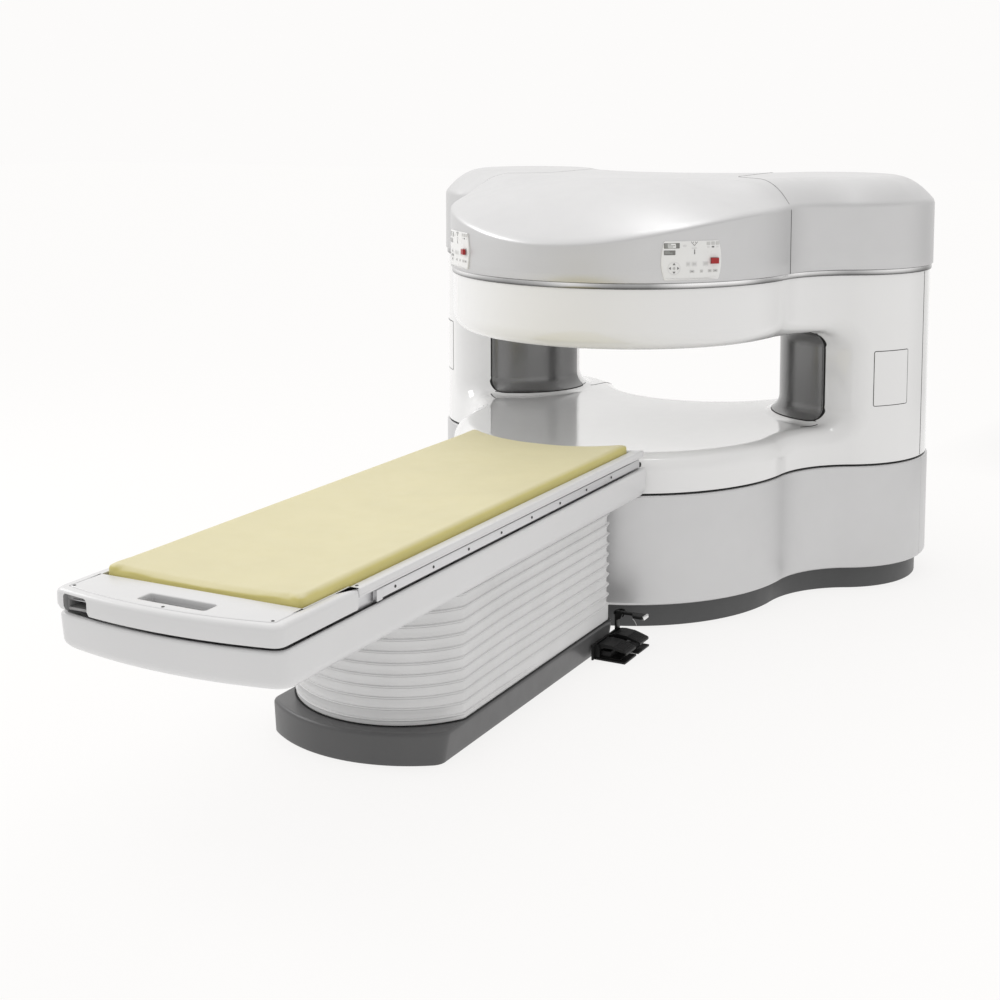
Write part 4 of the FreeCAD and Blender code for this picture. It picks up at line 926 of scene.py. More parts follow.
def line(a, b, n):
    return [tuple(np.array(a, float) + (np.array(b, float) - np.array(a, float)) * i / (n - 1)) for i in range(n)]


for s in (-1, 1):
    # parting line between the front body and the rear cover, down the outside wall
    xr = LOBE[0] + math.sqrt((LOBE_R - BODY_IN) ** 2 - (SPLIT - LOBE[1]) ** 2)
    body_seam(line((s * xr, SPLIT, Z_BODY + 0.002), (s * xr, SPLIT, Z_BAND - 0.002), 60), 0.0022)
    # round the foot of the post and back over the pole's top, and the same under the upper body
    for z_in, z_flat in ((0.765, Z_POLE), (1.150, Z_GAP)):
        arc = []
        for k in range(49):
            t = math.radians(262 - (262 - 165) * k / 48)
            arc.append((s * (POST[0] + 0.362 * math.cos(t)), POST[1] + 0.362 * math.sin(t), z_in))
        body_seam(arc, 0.0022)
        body_seam(line((s * 0.512, 0.735, z_flat), (s * 0.452, 0.985, z_flat), 24), 0.0022)
    # short joint in front of the post's foot
    body_seam([(s * (0.842 - 0.010 * k), 0.262 - 0.011 * k, 0.742) for k in range(7)], 0.0030)
seams.make("gantry_seams", M_GAP, "frame", "glide_black", 60.0)


# service doors: a flush sheet in a narrow dark joint
def door(side):
    b = Build()
    r = LOBE_R - BODY_IN
    a0, a1, z0, z1, rc = -48.0, -24.0, 0.845, 1.090, 0.006

    def loop(grow):
        out = []
        w = math.radians(a1 - a0) * r / 2 + grow
        hgt = (z1 - z0) / 2 + grow
        for q in fillet_profile([(-w, -hgt), (w, -hgt), (w, hgt), (-w, hgt)], rc + grow, 5):
            out.append(q)
        long_w, long_h = 24, 30
        full = []
        for i in range(len(out)):
            a, c = out[i], out[(i + 1) % len(out)]
            lng = math.hypot(c[0] - a[0], c[1] - a[1])
            k = 1 if lng < 0.02 else (long_w if abs(c[0] - a[0]) > abs(c[1] - a[1]) else long_h)
            full += [(a[0] + (c[0] - a[0]) * j / k, a[1] + (c[1] - a[1]) * j / k) for j in range(k)]
        return full

    def place(q, rad):
        t = math.radians((a0 + a1) / 2) + q[0] / r
        return (side * (LOBE[0] + rad * math.cos(t)), LOBE[1] + rad * math.sin(t), (z0 + z1) / 2 + q[1])

    def sheet(loops, rads, mat, fill_n=10):
        rows = len(loops)
        n = len(loops[0])
        vs = [place(q, rad) for lp, rad in zip(loops, rads) for q in lp]
        fs = grid_faces(rows, n, wrap_c=True)
        # concentric rings close the curved face without a flat fan
        last = loops[-1]
        base = (rows - 1) * n
        for k in range(1, fill_n + 1):
            sc = 1 - k / fill_n if k < fill_n else 0.02
            vs += [place((q[0] * sc, q[1] * sc), rads[-1]) for q in last]
            nb = len(vs) - n
            fs += [(base + i, base + (i + 1) % n, nb + (i + 1) % n, nb + i) for i in range(n)]
            base = nb
        fs.append(tuple(base + i for i in range(n)))
        b.add(vs, fs, mat)

    sheet([loop(0.0032), loop(0.0032)], [r - 0.002, r + 0.0005], 1)
    sheet([loop(0.0), loop(0.0), loop(-0.0010)], [r - 0.002, r + 0.0009, r + 0.0012], 0)
    name = "right" if side > 0 else "left"
    ob = b.make("service_door_" + name, [MAT["white_gloss"], M_GAP], "frame", "white_gloss", 40.0)
    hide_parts("access_panel_" + name)


door(1)
door(-1)


# post inserts: dark satin shells that follow the body's waisted surface
def insert(side):
    b = Build()
    base = -0.0

    def prof(t):
        # t from 0 at the foot to 1 at the head: radius and height along the waisted post
        a0 = math.radians(57.0)
        arc = FILLET * a0
        straight = (Z_GAP - FILLET) - (Z_POLE + FILLET)
        total = 2 * arc + straight
        s = t * total
        if s < arc:
            a = a0 - s / FILLET
            return POST_R + FILLET - FILLET * math.cos(a), Z_POLE + FILLET - FILLET * math.sin(a), (-math.cos(a), math.sin(a))
        if s < arc + straight:
            return POST_R, Z_POLE + FILLET + (s - arc), (-1.0, 0.0)
        a = (s - arc - straight) / FILLET
        return POST_R + FILLET - FILLET * math.cos(a), Z_GAP - FILLET + FILLET * math.sin(a), (-math.cos(a), -math.sin(a))

    total = 2 * FILLET * math.radians(57.0) + (Z_GAP - Z_POLE - 2 * FILLET)

    def patch(grow, edge, lift, mat):
        # rounded-rectangle region of the waisted surface, drawn onto the body and then raised from it
        th0, th1 = math.radians(174.0), math.radians(268.5)
        width = (th1 - th0) * POST_R + 2 * grow
        tall = total + 2 * grow
        cols, rows = 72, 56
        vs = []
        for j in range(cols + 1):
            u = width * 0.5 * (1 - math.cos(math.pi * j / cols))
            for i in range(rows + 1):
                w = 0.5 * (1 - math.cos(math.pi * i / rows))
                cut = 0.0
                for dd, rc in ((u, 0.026), (width - u, 0.088 + grow)):
                    if dd < rc:
                        cut = max(cut, rc - math.sqrt(max(0.0, rc * rc - (rc - dd) ** 2)))
                s = cut + (tall - 2 * cut) * w - grow
                t = min(1.0, max(0.0, s / total))
                rad, z, nn = prof(t)
                over = s - total if s > total else (s if s < 0 else 0.0)
                th = th0 - grow / POST_R + u / POST_R
                rad += abs(over)
                vs.append((side * (POST[0] + rad * math.cos(th)), POST[1] + rad * math.sin(th), z))
        vs = settle(np.array(vs, float), 6)
        g = body_grad(vs)
        g /= np.linalg.norm(g, axis=1)[:, None]
        n_r = rows + 1
        idx = np.arange(len(vs))
        border = (idx % n_r == 0) | (idx % n_r == rows) | (idx < n_r) | (idx >= cols * n_r)
        top = vs + g * np.where(border, edge, lift)[:, None]
        low = vs - g * 0.004
        allv = [tuple(q) for q in top] + [tuple(q) for q in low]
        off = len(top)
        fs = grid_faces(cols + 1, n_r)
        fs += [tuple(off + q for q in reversed(f)) for f in grid_faces(cols + 1, n_r)]
        rim = [j * n_r for j in range(cols + 1)] + [cols * n_r + i for i in range(1, n_r)] + \
              [j * n_r + rows for j in range(cols - 1, -1, -1)] + [i for i in range(rows - 1, 0, -1)]
        for q in range(len(rim)):
            a, c = rim[q], rim[(q + 1) % len(rim)]
            fs.append((a, c, off + c, off + a))
        b.add(allv, fs, mat)

    patch(0.0050, 0.0010, 0.0012, 1)
    patch(0.0, 0.0020, 0.0034, 0)
    name = "right" if side > 0 else "left"
    ob = b.make("post_insert_shell_" + name, [MAT["insert_metal"], M_GAP], "frame", "insert_metal", 40.0)
    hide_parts("post_insert_" + name)


insert(1)
insert(-1)

# --------------------------------------------------------------------------
# silver caps
# --------------------------------------------------------------------------
EDGE = [(-0.830, 1.612), (-0.800, 1.622), (-0.740, 1.647), (-0.700, 1.663), (-0.600, 1.692), (-0.530, 1.709), (-0.400, 1.730),
        (-0.300, 1.740), (-0.100, 1.750), (3.0, 1.750)]


def smooth(t):
    t = min(1.0, max(0.0, t))
    return t * t * (3 - 2 * t)


EY = np.linspace(-0.83, 0.2, 400)
_ez = np.interp(EY, [e[0] for e in EDGE], [e[1] for e in EDGE])
_k = np.exp(-0.5 * (np.arange(-40, 41) / 14.0) ** 2)
_ez = np.convolve(np.pad(_ez, 40, mode="reflect", reflect_type="odd"), _k / _k.sum(), mode="valid")


def edge_z(y):
    return float(np.interp(y, EY, _ez))


def cap_point(p, n, s):
    front = 1.0 - smooth((p[1] + 0.330) / 0.330)
    ze = edge_z(p[1])
    width = 0.205 + 0.435 * front
    power = 2.2 - 0.2 * front
    q = p + n * (width * s)
    return np.array([q[0], q[1], ze + (Z_TOP - ze) * (1 - (1 - s) ** power)])


CAP_P, CAP_N = outline(0.0125)
cap_rows = []
cap_rows.append([np.array([p[0] + n[0] * 0.016, p[1] + n[1] * 0.016, Z_CAP + 0.001]) for p, n in zip(CAP_P, CAP_N)])
cap_rows.append([np.array([p[0] + n[0] * 0.002, p[1] + n[1] * 0.002, Z_CAP + 0.001]) for p, n in zip(CAP_P, CAP_N)])
cap_rows.append([np.array([p[0], p[1], Z_CAP + 0.003]) for p, n in zip(CAP_P, CAP_N)])
R_EDGE = 0.016
for t in (0.25, 0.5, 0.75, 1.0):
    cap_rows.append([np.array([p[0], p[1], Z_CAP + 0.003 + (edge_z(p[1]) - R_EDGE - Z_CAP - 0.003) * t]) for p, n in zip(CAP_P, CAP_N)])
# the fascia rolls over into the dome on a small radius
S0 = 0.05
for k in range(1, 7):
    u = k / 7
    row = []
    for p, n in zip(CAP_P, CAP_N):
        a = np.array([p[0], p[1], edge_z(p[1]) - R_EDGE])
        c = cap_point(p, n, S0)
        b_ = np.array([p[0], p[1], edge_z(p[1]) + 0.0])
        row.append((1 - u) ** 2 * a + 2 * u * (1 - u) * b_ + u * u * c)
    cap_rows.append(row)
for s in list(np.linspace(S0, 1.0, 42) ** 1.0):
    cap_rows.append([cap_point(p, n, s) for p, n in zip(CAP_P, CAP_N)])
cap_n = len(CAP_P)
cap_v = [tuple(q) for row in cap_rows for q in row]
cap_f = grid_faces(len(cap_rows), cap_n, wrap_c=True)
last = (len(cap_rows) - 1) * cap_n
cap_f.append(tuple(last + i for i in range(cap_n)))
cap = Build()
cap.add(cap_v, cap_f)
cap_ob = cap.make("gantry_cap", MAT["silver_paint"], "frame", "silver_paint", 50.0)
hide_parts("top_cover_centre", "top_cover_left", "top_cover_right")

cap_tree = BVHTree.FromPolygons([Vector(v) for v in cap_v], cap_f)
cap_seams = Build()


def seam_on_cap(points, radius=0.0014):
    # plan points are dropped onto the dome; points that miss it are left out
    out = []
    for q in points:
        hit = cap_tree.ray_cast(Vector((q[0], q[1], 3.0)), Vector((0, 0, -1)))
        if hit[0] is not None:
            out.append(hit[0] - hit[1].normalized() * 0.0004 * (1 if hit[1].z > 0 else -1))
    cap_seams.add(*tube(out, radius, 6))


for s in (-1, 1):
    path = [(0.470, 1.02), (0.470, 0.166), (0.520, 0.122), (0.600, 0.050), (0.655, 0.020), (0.700, 0.005), (0.745, -0.018), (0.775, -0.038)]
    dense = []
    for a, c in zip(path, path[1:]):
        n = max(3, int(math.hypot(c[0] - a[0], c[1] - a[1]) / 0.012))
        dense += [(s * (a[0] + (c[0] - a[0]) * i / n), a[1] + (c[1] - a[1]) * i / n) for i in range(n)]
    # soften the corners of the plan line
    arr = np.array(dense)
    for _ in range(14):
        arr[1:-1] = (arr[:-2] + 2 * arr[1:-1] + arr[2:]) / 4
    y_w = -0.050
    x_w = None
    for i in range(len(POLY)):
        a, c = POLY[i], POLY[(i + 1) % len(POLY)]
        if a[0] * s > 0 and (a[1] - y_w) * (c[1] - y_w) <= 0:
            x_w = a[0] + (c[0] - a[0]) * (y_w - a[1]) / (c[1] - a[1] + 1e-12)
    arr = np.vstack([arr, [[x_w - s * 0.012, y_w + 0.004]]])
    seam_on_cap([tuple(q) for q in arr], 0.0014 if s > 0 else 0.0009)
    top = edge_z(y_w)
    cap_seams.add(*tube([(x_w + s * 0.0002, y_w, Z_CAP + 0.001 + (top - Z_CAP - 0.014) * i / 24) for i in range(25)] +
                        [(x_w - s * 0.003, y_w + 0.001, top - 0.006), (x_w - s * 0.010, y_w + 0.003, top + 0.001)], 0.0014, 6))
cap_seams.make("cap_seams", M_GAP, "frame", "glide_black", 60.0)


# --------------------------------------------------------------------------
# control panels on the fascia
# --------------------------------------------------------------------------
PANEL_Z = 1.555
panel_boxes = {}


def panel(side):
    deg = math.radians(-46.5) if side > 0 else math.radians(-180 + 46.5)
    R0 = DISC

    def at(x, z, rad):
        a = deg + x / R0
        return (rad * math.cos(a), rad * math.sin(a), PANEL_Z + z)

    def half(z):
        return 0.119 + 0.014 * (1 - (z / 0.080) ** 2)

    # plate: bowed sides, softened rim, a slim ledge along its foot
    b = Build()
    rows, cols = 26, 40
    levels = [(0.0, R0 - 0.002), (0.0, R0 + 0.0036), (0.0008, R0 + 0.0052), (0.0024, R0 + 0.0060)]
    vs, fs = [], []
    rim_n = 0
    rings = []
    for inset, rad in levels:
        loop = []
        zt = 0.080 - inset
        rc = 0.010
        n_side = 20
        pts = []
        for k in range(n_side + 1):
            z = -zt + 2 * zt * k / n_side
            pts.append((half(z) - inset, z))
        left = [(-x, z) for x, z in reversed(pts)]
        loop = fillet_profile([pts[0]] + pts[1:-1] + [pts[-1]] + [left[0]] + left[1:-1] + [left[-1]],
                              [rc] + [0] * (n_side - 1) + [rc] + [rc] + [0] * (n_side - 1) + [rc], 4)
        full = []
        for i in range(len(loop)):
            a, c = loop[i], loop[(i + 1) % len(loop)]
            k = 30 if abs(c[0] - a[0]) > 0.1 else 1
            full += [(a[0] + (c[0] - a[0]) * j / k, a[1] + (c[1] - a[1]) * j / k) for j in range(k)]
        loop = full
        rings.append([at(q[0], q[1], rad) for q in loop])
        last_loop = loop
    n = len(rings[0])
    for r in rings:
        vs += r
    fs = grid_faces(len(rings), n, wrap_c=True)
    base = (len(rings) - 1) * n
    for k in range(1, 13):
        sc = 1 - k / 12 if k < 12 else 0.03
        vs += [at(q[0] * sc, q[1] * sc, R0 + 0.0060) for q in last_loop]
        nb = len(vs) - n
        fs += [(base + i, base + (i + 1) % n, nb + (i + 1) % n, nb + i) for i in range(n)]
        base = nb
    fs.append(tuple(base + i for i in range(n)))
    b.add(vs, fs, 0)
    name = "right" if side > 0 else "left"
    face = R0 + 0.0060

    def pill(x0, x1, z0, z1, lift, mat, rc=0.003, sink=0.0012):
        lp = densify(fillet_profile([(x0, z0), (x1, z0), (x1, z1), (x0, z1)], rc, 4), 0.012)
        ins = min(0.0008, lift * 0.8)
        cx, cz = (x0 + x1) / 2, (z0 + z1) / 2
        inner = [(q[0] - math.copysign(ins, q[0] - cx), q[1] - math.copysign(ins, q[1] - cz)) for q in lp]
        v = [at(q[0], q[1], face - sink) for q in lp] + [at(q[0], q[1], face + lift * 0.6) for q in lp] + [at(q[0], q[1], face + lift) for q in inner]
        m = len(lp)
        f = grid_faces(3, m, wrap_c=True)
        f.append(tuple(2 * m + i for i in range(m)))
        b.add(v, f, mat)

    def stroke(points, wid, lift, mat):
        v, f = [], []
        for i, q in enumerate(points):
            a = points[max(0, i - 1)]
            c = points[min(len(points) - 1, i + 1)]
            dx, dz = c[0] - a[0], c[1] - a[1]
            l = math.hypot(dx, dz) or 1.0
            nx_, nz_ = -dz / l * wid / 2, dx / l * wid / 2
            v += [at(q[0] + nx_, q[1] + nz_, face - 0.0008), at(q[0] + nx_, q[1] + nz_, face + lift),
                  at(q[0] - nx_, q[1] - nz_, face + lift), at(q[0] - nx_, q[1] - nz_, face - 0.0008)]
        m = len(points)
        f = grid_faces(m, 4, wrap_c=True)
        f += [(0, 1, 2, 3), tuple((m - 1) * 4 + i for i in (3, 2, 1, 0))]
        b.add(v, f, mat)

    # ledge along the bottom
    pill(-0.116, 0.116, -0.0775, -0.0715, 0.0022, 0, 0.002)
    # key blocks
    for x0, x1, z0, z1 in ((-0.028, -0.009, -0.024, -0.005), (-0.004, 0.019, -0.024, -0.005), (0.046, 0.071, -0.024, -0.005)):
        pill(x0, x1, z0, z1, 0.0012, 3)
        pill(x0 + 0.004, x1 - 0.004, z0 + 0.004, z1 - 0.004, 0.0015, 1, 0.002)
    for x0, x1 in ((-0.012, 0.008), (0.033, 0.047), (0.069, 0.086), (0.092, 0.114)):
        pill(x0, x1, -0.051, -0.039, 0.0012, 1, 0.003)
        pill(x0 + 0.005, x1 - 0.005, -0.0465, -0.0435, 0.0015, 2, 0.001)
    # upper right cluster of indicators
    for k in range(3):
        pill(0.062 + 0.021 * k, 0.079 + 0.021 * k, 0.062, 0.076, 0.0010, 1, 0.002)
        pill(0.065 + 0.021 * k, 0.076 + 0.021 * k, 0.051, 0.057, 0.0010, 2 if k == 1 else 3, 0.001)
    # lamp oval, dotted row, three small wedges
    pill(-0.042, -0.026, 0.056, 0.066, 0.0008, 3, 0.005)
    for k in range(7):
        pill(-0.003 + 0.0034 * k, -0.0012 + 0.0034 * k, 0.0500, 0.0518, 0.0008, 2, 0.0008)
    for cx, cz in ((-0.001, 0.073), (0.016, 0.073), (0.0075, 0.064)):
        stroke([(cx - 0.005, cz + 0.004), (cx, cz - 0.004), (cx + 0.005, cz + 0.004)], 0.0022, 0.0008, 2)
    # small stand-up lamp figure: a plain bar with a dot
    stroke([(0.0085, 0.026), (0.0085, 0.038)], 0.004, 0.0008, 2)
    pill(0.0058, 0.0112, 0.0395, 0.0450, 0.0009, 2, 0.0026)
    # ring of four arrows
    cx, cz, rr = -0.079, -0.031, 0.026
    circ = [(cx + rr * math.cos(TAU * k / 36), cz + rr * math.sin(TAU * k / 36)) for k in range(37)]
    stroke(circ, 0.0022, 0.0009, 3)
    for k in range(4):
        a = TAU * k / 4
        ux, uz = math.cos(a), math.sin(a)
        px, pz = cx + ux * 0.0165, cz + uz * 0.0165
        tri = [(px + ux * 0.006, pz + uz * 0.006), (px - ux * 0.003 - uz * 0.006, pz - uz * 0.003 + ux * 0.006),
               (px - ux * 0.003 + uz * 0.006, pz - uz * 0.003 - ux * 0.006)]
        v = [at(q[0], q[1], face - 0.0008) for q in tri] + [at(q[0], q[1], face + 0.0010) for q in tri]
        b.add(v, [(0, 1, 4, 3), (1, 2, 5, 4), (2, 0, 3, 5), (3, 4, 5)], 2)
    pill(cx - 0.006, cx + 0.006, cz - 0.006, cz + 0.006, 0.0010, 1, 0.0058)
    # frame round the button
    pill(0.0785, 0.1175, -0.0175, -0.0152, 0.0020, 1, 0.001)
    pill(0.0785, 0.1175, 0.0092, 0.0115, 0.0020, 1, 0.001)
    ob = b.make("control_panel_" + name, [MAT["panel_white"], M_KEY, M_KEYLINE, M_DISHED], "frame", "panel_white", 38.0)
    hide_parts("panel_plate_" + name)

    # displays: framed windows with a plain bar pattern
    d = Build()
    b, keep_b = d, b

    def window(x0, x1, z0, z1, bars):
        lp = fillet_profile([(x0, z0), (x1, z0), (x1, z1), (x0, z1)], 0.002, 3)
        inn = fillet_profile([(x0 + 0.002, z0 + 0.002), (x1 - 0.002, z0 + 0.002), (x1 - 0.002, z1 - 0.002), (x0 + 0.002, z1 - 0.002)], 0.001, 3)
        m = len(lp)
        v = [at(q[0], q[1], face - 0.001) for q in lp] + [at(q[0], q[1], face + 0.0010) for q in lp] + \
            [at(q[0], q[1], face + 0.0010) for q in inn] + [at(q[0], q[1], face + 0.0004) for q in inn]
        f = grid_faces(4, m, wrap_c=True)
        f.append(tuple(3 * m + i for i in range(m)))
        d.add(v, f, 0)
        for k, (a, c) in enumerate(bars):
            zz = z1 - 0.0055 - 0.0052 * k
            y0 = [(a, zz - 0.0014), (c, zz - 0.0014), (c, zz + 0.0014), (a, zz + 0.0014)]
            v = [at(q[0], q[1], face + 0.0001) for q in y0] + [at(q[0], q[1], face + 0.0007) for q in y0]
            d.add(v, [(0, 1, 5, 4), (1, 2, 6, 5), (2, 3, 7, 6), (3, 0, 4, 7), (4, 5, 6, 7)], 1)

    window(-0.122, -0.056, 0.051, 0.073, [(-0.117, -0.092), (-0.117, -0.075), (-0.117, -0.084)])
    window(-0.122, -0.074, 0.024, 0.043, [(-0.117, -0.098), (-0.117, -0.086)])
    ob = d.make("control_displays_" + name, [MAT["display_grey"], M_LCD], "frame", "display_grey", 38.0)
    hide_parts("panel_displays_" + name)


panel(1)
panel(-1)

# --------------------------------------------------------------------------
# patient table
# --------------------------------------------------------------------------
def arc_pts(cx, cy, r, a0, a1, n):
    return [(cx + r * math.cos(a0 + (a1 - a0) * i / n), cy + r * math.sin(a0 + (a1 - a0) * i / n)) for i in range(n + 1)]


def trough_loop(hw, side_y, mid_y, scoop, corner, n_nose=36, n_c=10, n_side=30, n_sc=30):
    # plan of the carriage housings, counterclockwise from the left end of the bowed foot end
    sag = mid_y - side_y
    rn = (hw ** 2 + sag ** 2) / (2 * sag)
    cy = -mid_y + rn
    xc = hw - corner
    yc = cy - math.sqrt(rn ** 2 - xc ** 2)
    ax = math.asin(xc / rn)
    far = -math.sqrt(scoop ** 2 - hw ** 2)
    pts = arc_pts(0, cy, rn, -math.pi / 2 - ax, -math.pi / 2 + ax, n_nose)
    # corner: quarter-like curve from the nose's end to the side
    p0, p2 = np.array([xc, yc]), np.array([hw, -side_y + corner])
    t0 = np.array([math.cos(ax), math.sin(ax)])
    # control point where the two tangents cross
    k = (p2[0] - p0[0]) / t0[0]
    p1 = p0 + t0 * k
    for i in range(1, n_c + 1):
        u = i / n_c
        q = (1 - u) ** 2 * p0 + 2 * u * (1 - u) * p1 + u * u * p2
        pts.append(tuple(q))
    for i in range(1, n_side + 1):
        pts.append((hw, p2[1] + (far - p2[1]) * i / n_side))
    af = math.asin(hw / scoop)
    sc = arc_pts(0, 0, scoop, -math.pi / 2 + af, -math.pi / 2 - af, n_sc)
    pts += sc[1:]
    right = pts[n_nose + 1: n_nose + 1 + n_c + n_side]
    left = [(-x, y) for x, y in reversed(right)]
    pts += left[1:] if abs(left[0][0] - pts[-1][0]) < 1e-9 and abs(left[0][1] - pts[-1][1]) < 1e-9 else left
    return pts


def loft(build, levels, closed_low=True, closed_top=True, mat=0):
    # levels: list of (plan loop, height) with equal point counts
    n = len(levels[0][0])
    vs = [(q[0], q[1], z) for lp, z in levels for q in lp]
    fs = grid_faces(len(levels), n, wrap_c=True)
    if closed_low:
        fs.append(tuple(reversed(range(n))))
    if closed_top:
        fs.append(tuple((len(levels) - 1) * n + i for i in range(n)))
    build.add(vs, fs, mat)


def trough_levels():
    out = []

    def at(phi, extra=0.0):
        f = 1 - math.cos(phi)
        side = 3.249 - 0.079 * f - extra
        return trough_loop(0.4065 - 0.0445 * f - extra, side, side + 0.048, 0.815 + extra, 0.036 + 0.014 * f), 0.570 + 0.052 * (1 - math.sin(phi))

    for k in range(13):
        out.append(at(math.pi / 2 * (1 - k / 12)))

    def up(z, ins=0.0):
        f = (z - 0.622) / 0.078
        side = 3.249 + 0.007 * f - ins
        return trough_loop(0.4065 + 0.0025 * f - ins, side, side + 0.048, 0.815 + ins, 0.036), z

    for z in (0.645, 0.670, 0.6895):
        out.append(up(z))
    for k in range(1, 7):
        t = math.pi / 2 * k / 6
        out.append(up(0.6895 + 0.0105 * math.sin(t), 0.0105 * (1 - math.cos(t))))
    out.append(up(0.700, 0.0135))
    out.append((up(0.700, 0.0150)[0], 0.698))
    out.append((up(0.700, 0.0150)[0], 0.640))
    return out


b = Build()
loft(b, trough_levels(), True, True)
ob = b.make("carriage_shell", MAT["table_white"], "carriage", "table_white", 32.0)
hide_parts("carriage_trough")


# foot-end housing, a U round the neck of the tray, with a grip recess at its left
def cut_boxes(ob, boxes):
    cutters = []
    for i, (vs, fs) in enumerate(boxes):
        me = bpy.data.meshes.new("cutter")
        me.from_pydata(vs, [], fs)
        c = bpy.data.objects.new("cutter%d" % i, me)
        bpy.context.scene.collection.objects.link(c)
        cutters.append(c)
        md = ob.modifiers.new("cut%d" % i, "BOOLEAN")
        md.operation = "DIFFERENCE"
        md.solver = "EXACT"
        md.object = c
    bpy.context.view_layer.update()
    dg = bpy.context.evaluated_depsgraph_get()
    me = bpy.data.meshes.new_from_object(ob.evaluated_get(dg))
    ob.modifiers.clear()
    ob.data = me
    for c in cutters:
        bpy.data.objects.remove(c)


def prism_box(loop, z0, z1):
    n = len(loop)
    vs = [(x, y, z0) for x, y in loop] + [(x, y, z1) for x, y in loop]
    return vs, [tuple(reversed(range(n))), tuple(range(n, 2 * n))] + [(i, (i + 1) % n, n + (i + 1) % n, n + i) for i in range(n)]


def housing_loop(hw, side_y, mid_y, corner, far=2.875):
    sag = mid_y - side_y
    rn = (hw ** 2 + sag ** 2) / (2 * sag)
    cy = -mid_y + rn
    xc = hw - corner
    yc = cy - math.sqrt(rn ** 2 - xc ** 2)
    ax = math.asin(xc / rn)
    pts = arc_pts(0, cy, rn, -math.pi / 2 - ax, -math.pi / 2 + ax, 40)
    p0, p2 = np.array([xc, yc]), np.array([hw, -side_y + corner])
    t0 = np.array([math.cos(ax), math.sin(ax)])
    p1 = p0 + t0 * ((p2[0] - p0[0]) / t0[0])
    curve = []
    for i in range(1, 11):
        u = i / 10
        curve.append(tuple((1 - u) ** 2 * p0 + 2 * u * (1 - u) * p1 + u * u * p2))
    pts += curve
    side = [(hw, p2[1] + (-far - p2[1]) * i / 8) for i in range(1, 9)]
    pts += side
    pts += [(-x, y) for x, y in reversed(side)]
    pts += [(-x, y) for x, y in reversed(curve)]
    return pts


b = Build()
lv = []
for k in range(5):
    t = math.pi / 2 * k / 4
    ins, z = 0.004 * (1 - math.sin(t)), 0.712 + 0.004 * (1 - math.cos(t))
    lv.append((housing_loop(0.4045 - ins, 3.261 - ins, 3.307 - ins, 0.030, 2.875 + ins), z))
lv.append((housing_loop(0.4068, 3.2675, 3.3135, 0.030), 0.728))
lv.append((housing_loop(0.407, 3.268, 3.314, 0.030), 0.745))
for k in range(9):
    t = math.pi / 2 * k / 8
    ins, z = 0.0165 * (1 - math.cos(t)), 0.7605 + 0.0165 * math.sin(t)
    lv.append((housing_loop(0.407 - ins, 3.268 - ins, 3.314 - ins, 0.030, 2.875), z))
loft(b, lv)
fh = b.make("foot_end_housing", [MAT["table_white"], MAT["motor_grey"]], "carriage", "table_white", 30.0)
notch = fillet_profile([(-0.361, 0.700), (-0.256, 0.700), (-0.256, 0.7665), (-0.361, 0.7665)], [0, 0, 0.014, 0.010], 5)
n_n = len(notch)
notch_v = [(q[0], -3.42, q[1]) for q in notch] + [(q[0], -3.256, q[1]) for q in notch]
notch_f = [tuple(range(n_n)), tuple(reversed(range(n_n, 2 * n_n)))] + [(i, n_n + i, n_n + (i + 1) % n_n, (i + 1) % n_n) for i in range(n_n)]
neck_cut = [q for q in trough_loop(0.374, 3.242, 3.288, 1.0, 0.008)]
cut_boxes(fh, [prism_box(neck_cut, 0.7487, 0.90),
               prism_box([(-0.358, -3.258), (0.358, -3.258), (0.358, -2.8), (-0.358, -2.8)], 0.720, 0.743),
               prism_box([(-0.116, -3.250), (0.140, -3.250), (0.140, -3.180), (-0.116, -3.180)], 0.7415, 0.76),
               (notch_v, notch_f)])
fh.data.materials.clear()
fh.data.materials.append(MAT["table_white"])
fh.data.materials.append(M_RECESS_SHADE)
# painted shade: the walls and ceiling of the grip recess and the hollow under the housing take a grey material, darker
# than the white housing around them
for f in fh.data.polygons:
    c = f.center
    inside = -0.3612 < c.x < -0.2558 and c.y > -3.4 and 0.7045 < c.z < 0.7668
    cut_face = abs(c.y + 3.256) < 0.0012 or abs(c.x + 0.361) < 0.0006 or abs(c.x + 0.256) < 0.0006 or (c.z > 0.7515 and f.normal.z < -0.2)
    f.material_index = 1 if (inside and cut_face) or (abs(c.x) < 0.3585 and c.y > -3.2585 and 0.7195 < c.z < 0.7435) else 0
soften(fh, 30.0)
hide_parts("foot_housing")
# bar inside the grip recess
b = Build()
b.add(*rbox((-0.340, -3.2620, 0.7440), (-0.2565, -3.2565, 0.7475), 0.0010, 2))
b.make("grip_recess_bar", MAT["foot_steel"], "carriage", "foot_steel")

# sliding tray: neck, hand slot, and a rim round the mattress
far_r = 0.845
af = math.asin(0.410 / far_r)
neck = trough_loop(0.372, 3.240, 3.286, 1.0, 0.006, n_nose=40)
near_half = [q for q in neck if q[1] < -3.05]
right_n = [q for q in near_half]
order = sorted(range(len(near_half)), key=lambda i: math.atan2(near_half[i][1] + 2.6, near_half[i][0]))
near_arc = [near_half[i] for i in order]
t_out = near_arc + [(0.372, -2.873)] + [tuple(q) for q in fillet_profile([(0.372, -2.90), (0.372, -2.873), (0.410, -2.873), (0.410, -0.7389)], [0, 0, 0.004, 0], 4)[2:-1]]
t_out += [(0.410, -2.873 + (2.873 - 0.7389) * i / 40) for i in range(1, 40)]
t_out += arc_pts(0, 0, far_r, -math.pi / 2 + af, -math.pi / 2 - af, 40)
t_out += [(-0.410, -0.7389 - (2.873 - 0.7389) * i / 40) for i in range(1, 40)]
t_out += [tuple(q) for q in fillet_profile([(-0.410, -0.80), (-0.410, -2.873), (-0.372, -2.873), (-0.372, -3.00)], [0, 0.004, 0, 0], 4)[1:-1]]
